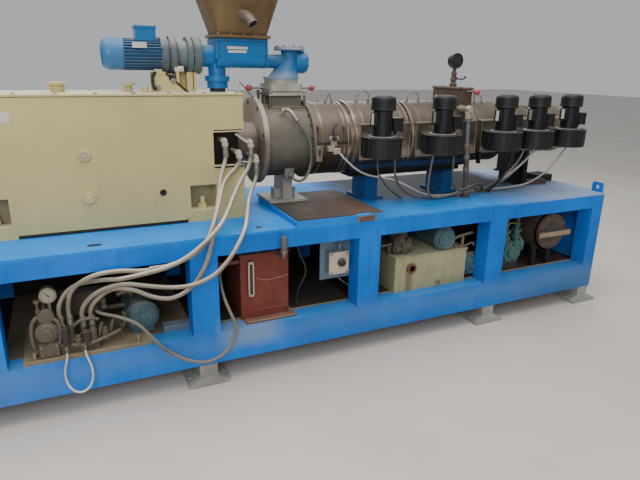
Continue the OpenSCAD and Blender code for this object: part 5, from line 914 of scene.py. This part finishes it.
slabPieces({
    # dark strips under the box's front and side: painted shadow at the box's bottom edge
    "vent_shadow_slit": {"finish": "oil_black_and_painted_shade", "slot": "vent_brown", "edge": 0.8, "boxes": [((1190, -171.2, 1192), (1260, -168, 1197)), ((1183.2, -160, 1192), (1186, 84, 1197))]},
    "vent_lid_lip": {"finish": "vent_dusty", "slot": "vent_brown", "edge": 2.5, "boxes": [((1178, -176, 1343), (1271, -168, 1354)), ((1178, -176, 1343), (1186, 99, 1354)), ((1263, -176, 1343), (1271, 99, 1354)), ((1178, 92, 1343), (1271, 99, 1354))]},
})
makePiece("vent_elbow", [spun([(-2, 16), (14, 16), (16, 13)], (1191.5, -258, 1239), toRear, 24),
    turned([(0, 12.8), (0, 18.5), (8, 18.5), (9, 16), (30, 16), (31, 18.5), (38, 18.5), (38, 12.8)], (1192, -240, 1226), (0.07, 0, -1), 24)], "cream_paint")

pipeWay = np.array((0.0699, 0, -0.9976))
makePiece("vent_couplings", [turned([(0, 12.8), (0, 17.5), (3, 18.5), (high - 3, 18.5), (high, 17.5), (high, 12.8)], np.array((1191.5, -240, 1239)) + pipeWay * run, pipeWay, 6 + 12 * k) for run, high, k in ((196, 26, 0), (262, 22, 1), (330, 30, 0), (470, 20, 1))], "pipe_brown")

# second bay: gauge, clamp stacks, valve stems
makePiece("gauge_case", [spun([(0, 28), (4, 31.5), (34, 31.5), (37, 33.5), (40, 33.5), (41, 31), (38.5, 29.5)], (-1029.5, -384, 546), toFront, 44),
    spun([(0, 7), (40, 7), (42, 11), (56, 11), (58, 8), (60, 8)], (-1029.5, -400, 467), upward, 6)], "zinc_dull", ("pressure_gauge",))
makePiece("gauge_face", [spun([(0, 29.2), (0.7, 29.2)], (-1029.5, -422.6, 546), toFront, 40)], "dial_face")
dialTicks = np.radians(np.linspace(-135, 135, 28))


def dialPoint(a, radius):
    # a point of the dial: radius * sin a across and radius * cos a up
    return -1029.5 + math.sin(a) * radius, -423.5, 546 + math.cos(a) * radius


makePiece("gauge_ticks", [tube(np.linspace(dialPoint(a, 24.0 if k % 3 else 21.5), dialPoint(a, 27), 3), 0.45, 6) for k, a in enumerate(dialTicks)] + [
    plate([(-1.6, -8), (1.6, -8), (0.5, 22), (-0.5, 22)], (-1029.5, -424.2, 546), (0.78, 0, 0.62), (-0.62, 0, 0.78), 0.8, 0.2),
    spun([(0, 3), (1.6, 2.6)], (-1029.5, -424, 546), toFront, 16)], "cable_black")


def ribbedStack(place, high, low, wide, pitch):
    # a stack of discs: radius steps between low and wide every half pitch
    rows = [(0, 0.1)]
    for k in range(int(high / pitch)):
        rows += [(k * pitch, low), (k * pitch, wide), (k * pitch + pitch * 0.6, wide), (k * pitch + pitch * 0.6, low)]
    return turned(rows + [(high, low), (high, 0.1)], place, upward, 24)


makePiece("clamp_stacks", [ribbedStack((-984, -452, 323), 92, 8, 14, 11), ribbedStack((-903, -452, 323), 56, 8, 14, 11), ribbedStack((-1060, -436, 342), 70, 9, 15, 12),
    ribbedStack((-760, -412, 329), 48, 8, 15, 12)], "cast_dark")
boltPieces({
    "valve_screws": {"finish": "zinc_dull", "slot": "plated_steel", "size": 6, "high": 6, "rows": [
        (toFront, [(-1152.5 + x, -426, z) for x in (152, 176, 210, 226, 260, 290) for z in (284, 318)] + [(-1078, -440, 290), (-1020, -440, 290), (-1078, -440, 328), (-1020, -440, 328)]),
        (upward, [(-1152.5 + x, -400 + y, 273) for x in (20, 320, 420, 490) for y in (-48, 120)])]},
    "foot_bolts": {"finish": "foot_steel", "slot": "foot_steel", "size": 13, "high": 12, "washer": 18, "rows": [
        (upward, [(x + a, s * 409.5, 14) for x in (-2097.5, -395, 1300, 2097.5) for a in (-80, 80) for s in (-1, 1)])]},
})
makePiece("valve_stems", [turned([(0, 0.1), (0, 10), (14, 10), (15, 5), (44, 5), (45, 12), (50, 13), (56, 12), (57, 0.1)], q, upward, 16) for q in ((-1074.5, -400, 467), (-1054.5, -368, 467))]
    + [spun([(0, 14), (20, 14), (21, 9), (34, 9)], (-820, -318, 430 + k * 26), toFront, 6) for k in (0, 1)]
    + [pipe([(-1040, -360, 360), (-1030, -300, 372), (-980, -262, 380), (-930, -258, 420), (-900, -270, 446)], 9, 14, 6),
       pipe([(-760, -330, 470), (-730, -330, 480), (-700, -310, 460), (-690, -260, 400), (-690, -230, 330)], 10, 14, 6),
       pipe([(-850, -300, 400), (-850, -270, 384), (-820, -240, 376), (-720, -230, 372), (-660, -224, 366)], 11, 14, 6)], "pipe_brown")
fins = np.arange(10) * np.pi / 5
makePiece("oil_motor_cap", [spun([(0, 56), (3, 60), (9, 60), (12, 52), (16, 34), (17, 16), (21, 12)], (-662.5, -362, 355), toFront, 36)]
    + [tube(np.array([(-662.5 + math.cos(a) * r, -362 - h, 355 + math.sin(a) * r) for r, h in ((20, 16), (34, 16), (50, 13))]), 3, 8) for a in fins], "motor_teal")
makePiece("bay_pipes", [pipe(r, q, 12, 5) for r, q in (
    ([(-1104, -428, 330), (-1108, -432, 380), (-1102, -434, 430), (-1086, -434, 458), (-1062, -432, 462)], 9),
    ([(-1010, -440, 332), (-1000, -446, 380), (-1004, -446, 430), (-1022, -440, 452)], 8),
    ([(-962, -440, 318), (-930, -446, 312), (-880, -446, 316), (-820, -440, 330), (-764, -430, 346)], 8),
    ([(-948, -430, 400), (-920, -436, 420), (-880, -436, 424), (-850, -430, 412)], 7),
    ([(-806, -420, 330), (-800, -426, 372), (-790, -426, 400)], 8), ([(-854, -424, 322), (-848, -428, 360), (-836, -424, 392)], 7),
    ([(-770, -414, 330), (-752, -420, 360), (-740, -414, 392), (-748, -400, 416)], 6))]
    + [ribbedStack(q, h, 10, 15, 9) for q, h in (((-876, -436, 312), 66), ((-828, -432, 318), 52), ((-936, -440, 312), 44))], "valve_brown")
makePiece("bay_pump_body", [turned([(0, 0.1), (0, 40), (8, 46), (22, 46), (26, 38), (34, 34), (36, 22), (46, 20), (48, 0.1)], (-1048, -424, 392), toFront, 30),
    spun([(0, 30), (10, 33), (22, 30), (26, 18)], (-1046, -424, 462), toFront, 26)]
    + repeated(boltHead(6, 6), ringPlaces((-1048, -446, 392), 39, 6, 0, "y"), toFront), "valve_brown")
slabPieces({
    "suction_block": {"finish": "panel_grey", "slot": "bed_blue", "edge": 2, "boxes": [((-576, -372, 222), (-440, -364, 292)), ((-572, -364, 261), (-446, -300, 284))]},
    "skid_edge": {"finish": "floor_tan", "slot": "floor_tan", "edge": 2.5, "boxes": [((-1152, -457, 273), (-644, -449, 279))]},
    "hose_tie": {"finish": "hose_white", "slot": "hose_white", "edge": 2, "boxes": [((-634, -515, 638), (-540, -505, 646))]},
})

# third bay: sight gauge, bead, lid screws, filler cap, panel box
slabPieces({
    "sight_bracket": {"finish": "cream_paint", "slot": "gauge_white", "edge": 3, "boxes": [((-172, -406, 388), (-164, -398, 562)), ((-150, -406, 388), (-142, -398, 562)), ((-172, -406, 552), (-142, -396, 564)), ((-172, -406, 386), (-142, -396, 398))]},
    "panel_cover": {"finish": "cream_paint", "slot": "gauge_white", "edge": 5, "boxes": [((246, -434, 447), (354, -429, 565)), ((244, -431, 449), (356, -422, 563))]},
    "panel_face": {"finish": "panel_grey", "slot": "drive_blue", "edge": 2, "boxes": [((222, -370.5, 404), (412, -367, 634))]},
    "drip_edge": {"finish": "floor_tan", "slot": "floor_tan", "edge": 2.5, "boxes": [((-194, -441, 266), (66, -433, 272))]},
    "tank_ribs": {"finish": "tank_maroon", "slot": "tank_maroon", "edge": 3, "boxes": [((-130, -392.5, 300), (30, -388, 308)), ((-205, -392, 592), (36, -388, 600))]},
})
makePiece("sight_glass", [spun([(0, 8), (150, 8)], (-157, -401, 400), upward, 20)], "dark_glass")
makePiece("tank_bead", [pipe([(-132, -391, 476), (-100, -391.5, 462), (-58, -391, 458), (-10, -391.5, 462), (34, -391, 470)], 3.4, 10, 5, 0.4, 8)], "tank_bead", smooth=70)
makePiece("filler_cap", [ribbedStack((21.5, -349.5, 632), 46, 11, 17, 7), spun([(0, 22), (6, 22), (8, 19)], (21.5, -349.5, 599), upward, 28),
    spun([(0, 15), (8, 15)], (21.5, -349.5, 624), upward, 6)], "zinc_dull")
makePiece("filler_valve", [ribbedStack((-20, -482, 636), 62, 11, 15.5, 7.5), spun([(0, 12), (10, 12), (11, 16), (24, 16), (25, 11), (28, 11)], (-20, -482, 609), upward, 6),
    pipe([(-20, -386, 586), (-20, -430, 586), (-20, -464, 590), (-20, -480, 604), (-20, -482, 616)], 9, 16)], "zinc_dull")
boltPieces({
    "tank_lid_screws": {"finish": "zinc_dull", "slot": "plated_steel", "size": 5, "high": 4, "washer": 8, "rows": [
        (upward, [(x, y, 599) for x in (-200, -120, -40, 34) for y in (-384, -142)])]},
    "panel_screws": {"finish": "zinc_dull", "slot": "plated_steel", "size": 4, "high": 3, "washer": 6.5, "rows": [
        (toFront, [(x, -434, z) for x in (256, 344) for z in (456, 556)] + [(x, -370.5, z) for x in (232, 402) for z in (414, 600)])]},
})
makePiece("panel_knob", [spun([(0, 23), (4, 23), (6, 19), (18, 17), (20, 14)], (311.5, -434, 509), toFront, 24)], "cable_black")

# fourth bay: tank port and plug, pump pipes, motor rings
makePiece("tank_port", [spun([(0, 27), (4, 28), (17, 28), (18, 24), (18, 17), (16.5, 16)], (769.5, -389, 397), toFront, 36)], "rust_port")
makePiece("tank_plug", [spun([(0, 17), (5, 17), (6, 12), (16, 12), (17, 10)], (959.5, -389, 291), toFront, 6)], "zinc_dull")
makePiece("water_pipes", [pipe(r, q, 14, 6) for r, q in (
    ([(1075, -330, 500), (1086, -352, 520), (1110, -366, 536), (1150, -372, 545), (1196, -366, 548), (1214, -350, 540)], 8),
    ([(1126, -372, 470), (1128, -374, 500), (1130, -372, 538)], 9), ([(1080, -372, 470), (1140, -378, 478), (1206, -374, 488), (1216, -368, 470)], 6),
    ([(606, -330, 527), (640, -334, 528), (672, -330, 530)], 6))], "pipe_brown")
makePiece("pump_stacks", [ribbedStack((700, -330, 469), 96, 13, 20, 17), ribbedStack((748, -342, 469), 74, 16, 24, 15), ribbedStack((786, -330, 469), 84, 11, 18, 14), ribbedStack((668, -316, 469), 60, 10, 15, 13)]
    + [spun([(0, 24), (8, 27), (16, 27), (18, 18), (30, 16), (34, 9)], q, toFront, 20) for q in ((720, -336, 556), (764, -336, 520), (700, -336, 505))], "valve_brown")
makePiece("motor_faces", [turned([(0, 0.1), (0, r + 3), (5, r + 4), (9, r + 3), (9, r - 3), (5, r - 6), (5, r * 0.62), (10, r * 0.56), (10, r * 0.3), (6, r * 0.24), (6, r * 0.12), (12, 0.1)], q, toFront, 44)
    for q, r in (((999.5, -391, 536.5), 50), ((1225.5, -357, 345), 53))], "motor_teal")
makePiece("motor_rims", [turned([(0, r), (0, r + 4), (5, r + 5), (10, r + 3), (10, r)], q, toFront, 48)
    for q, r in (((999.5, -366, 536.5), 66), ((1225.5, -333, 345), 70), ((-662.5, -343, 355), 70))], "zinc_dull")
boltPieces({
    "water_pump_screws": {"finish": "zinc_dull", "slot": "plated_steel", "size": 6, "high": 5, "washer": 9, "rows": [
        (upward, ringPlaces((733.5, -269.5, 483), 46, 8, 22.5, "z")), (toFront, ringPlaces((999.5, -201, 536), 52, 6, 0, "y"))]},
    "circulation_screws": {"finish": "zinc_dull", "slot": "plated_steel", "size": 5.5, "high": 5, "rows": [
        (toFront, ringPlaces((1540.5, -360, 381), 56, 8, 22.5, "y")), (upward, [(1540.5 + a + b, -329.5 + c, h) for a in (-43, 43) for b in (-17, 17) for c in (-17, 17) for h in (475, 517)])]},
    "vacuum_screws": {"finish": "cast_dark", "slot": "vent_brown", "size": 6, "high": 5, "rows": [(toFront, ringPlaces((1798.5, -405.5, 498), 101, 12, 15, "y"))]},
})
makePiece("brass_stems", [spun([(0, 14), (10, 14), (12, 9), (30, 9), (31, 15), (46, 15), (47, 9), (62, 8.5), (64, 11), (74, 11), (75, 6), (84, 6)], (1540.5 + a, -329.5, 516), upward, 6 if a < 0 else 8) for a in (-43, 43)]
    + [pipe([(1497.5, -329.5, 560), (1500, -346, 566), (1520, -356, 568), (1560, -356, 566), (1583.5, -346, 560)], 5, 12, 5)], "brass_dull")
makePiece("circulation_nose", [spun([(0, 44), (8, 47), (16, 47), (18, 30), (34, 27), (44, 14)], (1606, -322, 420), (1, -0.2, 0), 28),
    turned([(0, 0.1), (0, 26), (10, 28), (20, 24), (22, 12), (30, 0.1)], (1566, -352, 430), toFront, 24),
    ribbedStack((1650, -318, 372), 60, 9, 15, 12)], "circulation_teal")
makePiece("vacuum_rings", [turned([(0, 112), (0, 129.5), (6, 130.5), (12, 129.5), (12, 112)], (1798.5, -389.5, 498), toRear, 64), spun([(0, 62), (5, 60), (8, 44)], (1798.5, -405.5, 498), toFront, 48)], "cast_dark")
slabPieces({"vacuum_plank": {"finish": "plank_light", "slot": "floor_tan", "edge": 3, "boxes": [((1681, -424, 470), (1946, -419, 500))]},
    "bay_ledge": {"finish": "floor_tan", "slot": "floor_tan", "edge": 2.5, "boxes": [((1366, -370, 261), (2048, -362, 268)), ((521, -370, 261), (1233, -362, 268)), ((-328, -370, 261), (388, -362, 268))]}})
slotTurn = np.linspace(0, 2 * np.pi, 28, endpoint=False)
# a black ellipse over the deck slot and a dark disc in the hole: painted shade in the openings
makePiece("deck_slot_shade", [plate(np.stack([31 * np.cos(slotTurn), 15.5 * np.sin(slotTurn)], -1), (-831, -394, 730.2), toRight, toRear, 0.8, 0.2),
    spun([(0, 12.6), (0.6, 12.4)], (-114, -397.5, 730.1), upward, 24)], "oil_black_and_painted_shade")
slabPieces({"end_sheets": {"finish": "bed_blue", "slot": "bed_blue", "edge": 1.5, "boxes": [((s * 2128, -366, 228), (s * 2133, 366, 637)) for s in (-1, 1)]}})
makePiece("deck_hole_rims", [turned([(0, 12.2), (0, 16), (1.6, 15), (1.6, 12.2)], (-114, -397.5, 730), upward, 24),
    turned([(0, 45.2), (0, 54), (3, 52), (3, 45.2)], (1444.5, -130, 730), upward, 40)], "cast_dark")


# ---- floor

floorMesh = bpy.data.meshes.new("floor")
floorMesh.from_pydata([(-30, -30, 0), (30, -30, 0), (30, 30, 0), (-30, 30, 0)], [], [(0, 1, 2, 3)])
floor = bpy.data.objects.new("floor", floorMesh)
bpy.context.scene.collection.objects.link(floor)
floorFinish = Finish("pale floor", 0.7)
floorFinish.colour(floorFinish.blend(floorFinish.band(floorFinish.noise(1.2, 6), 0.35, 0.7), "cfc8bf", "c3bbb1"))
floorMesh.materials.append(floorFinish.material)
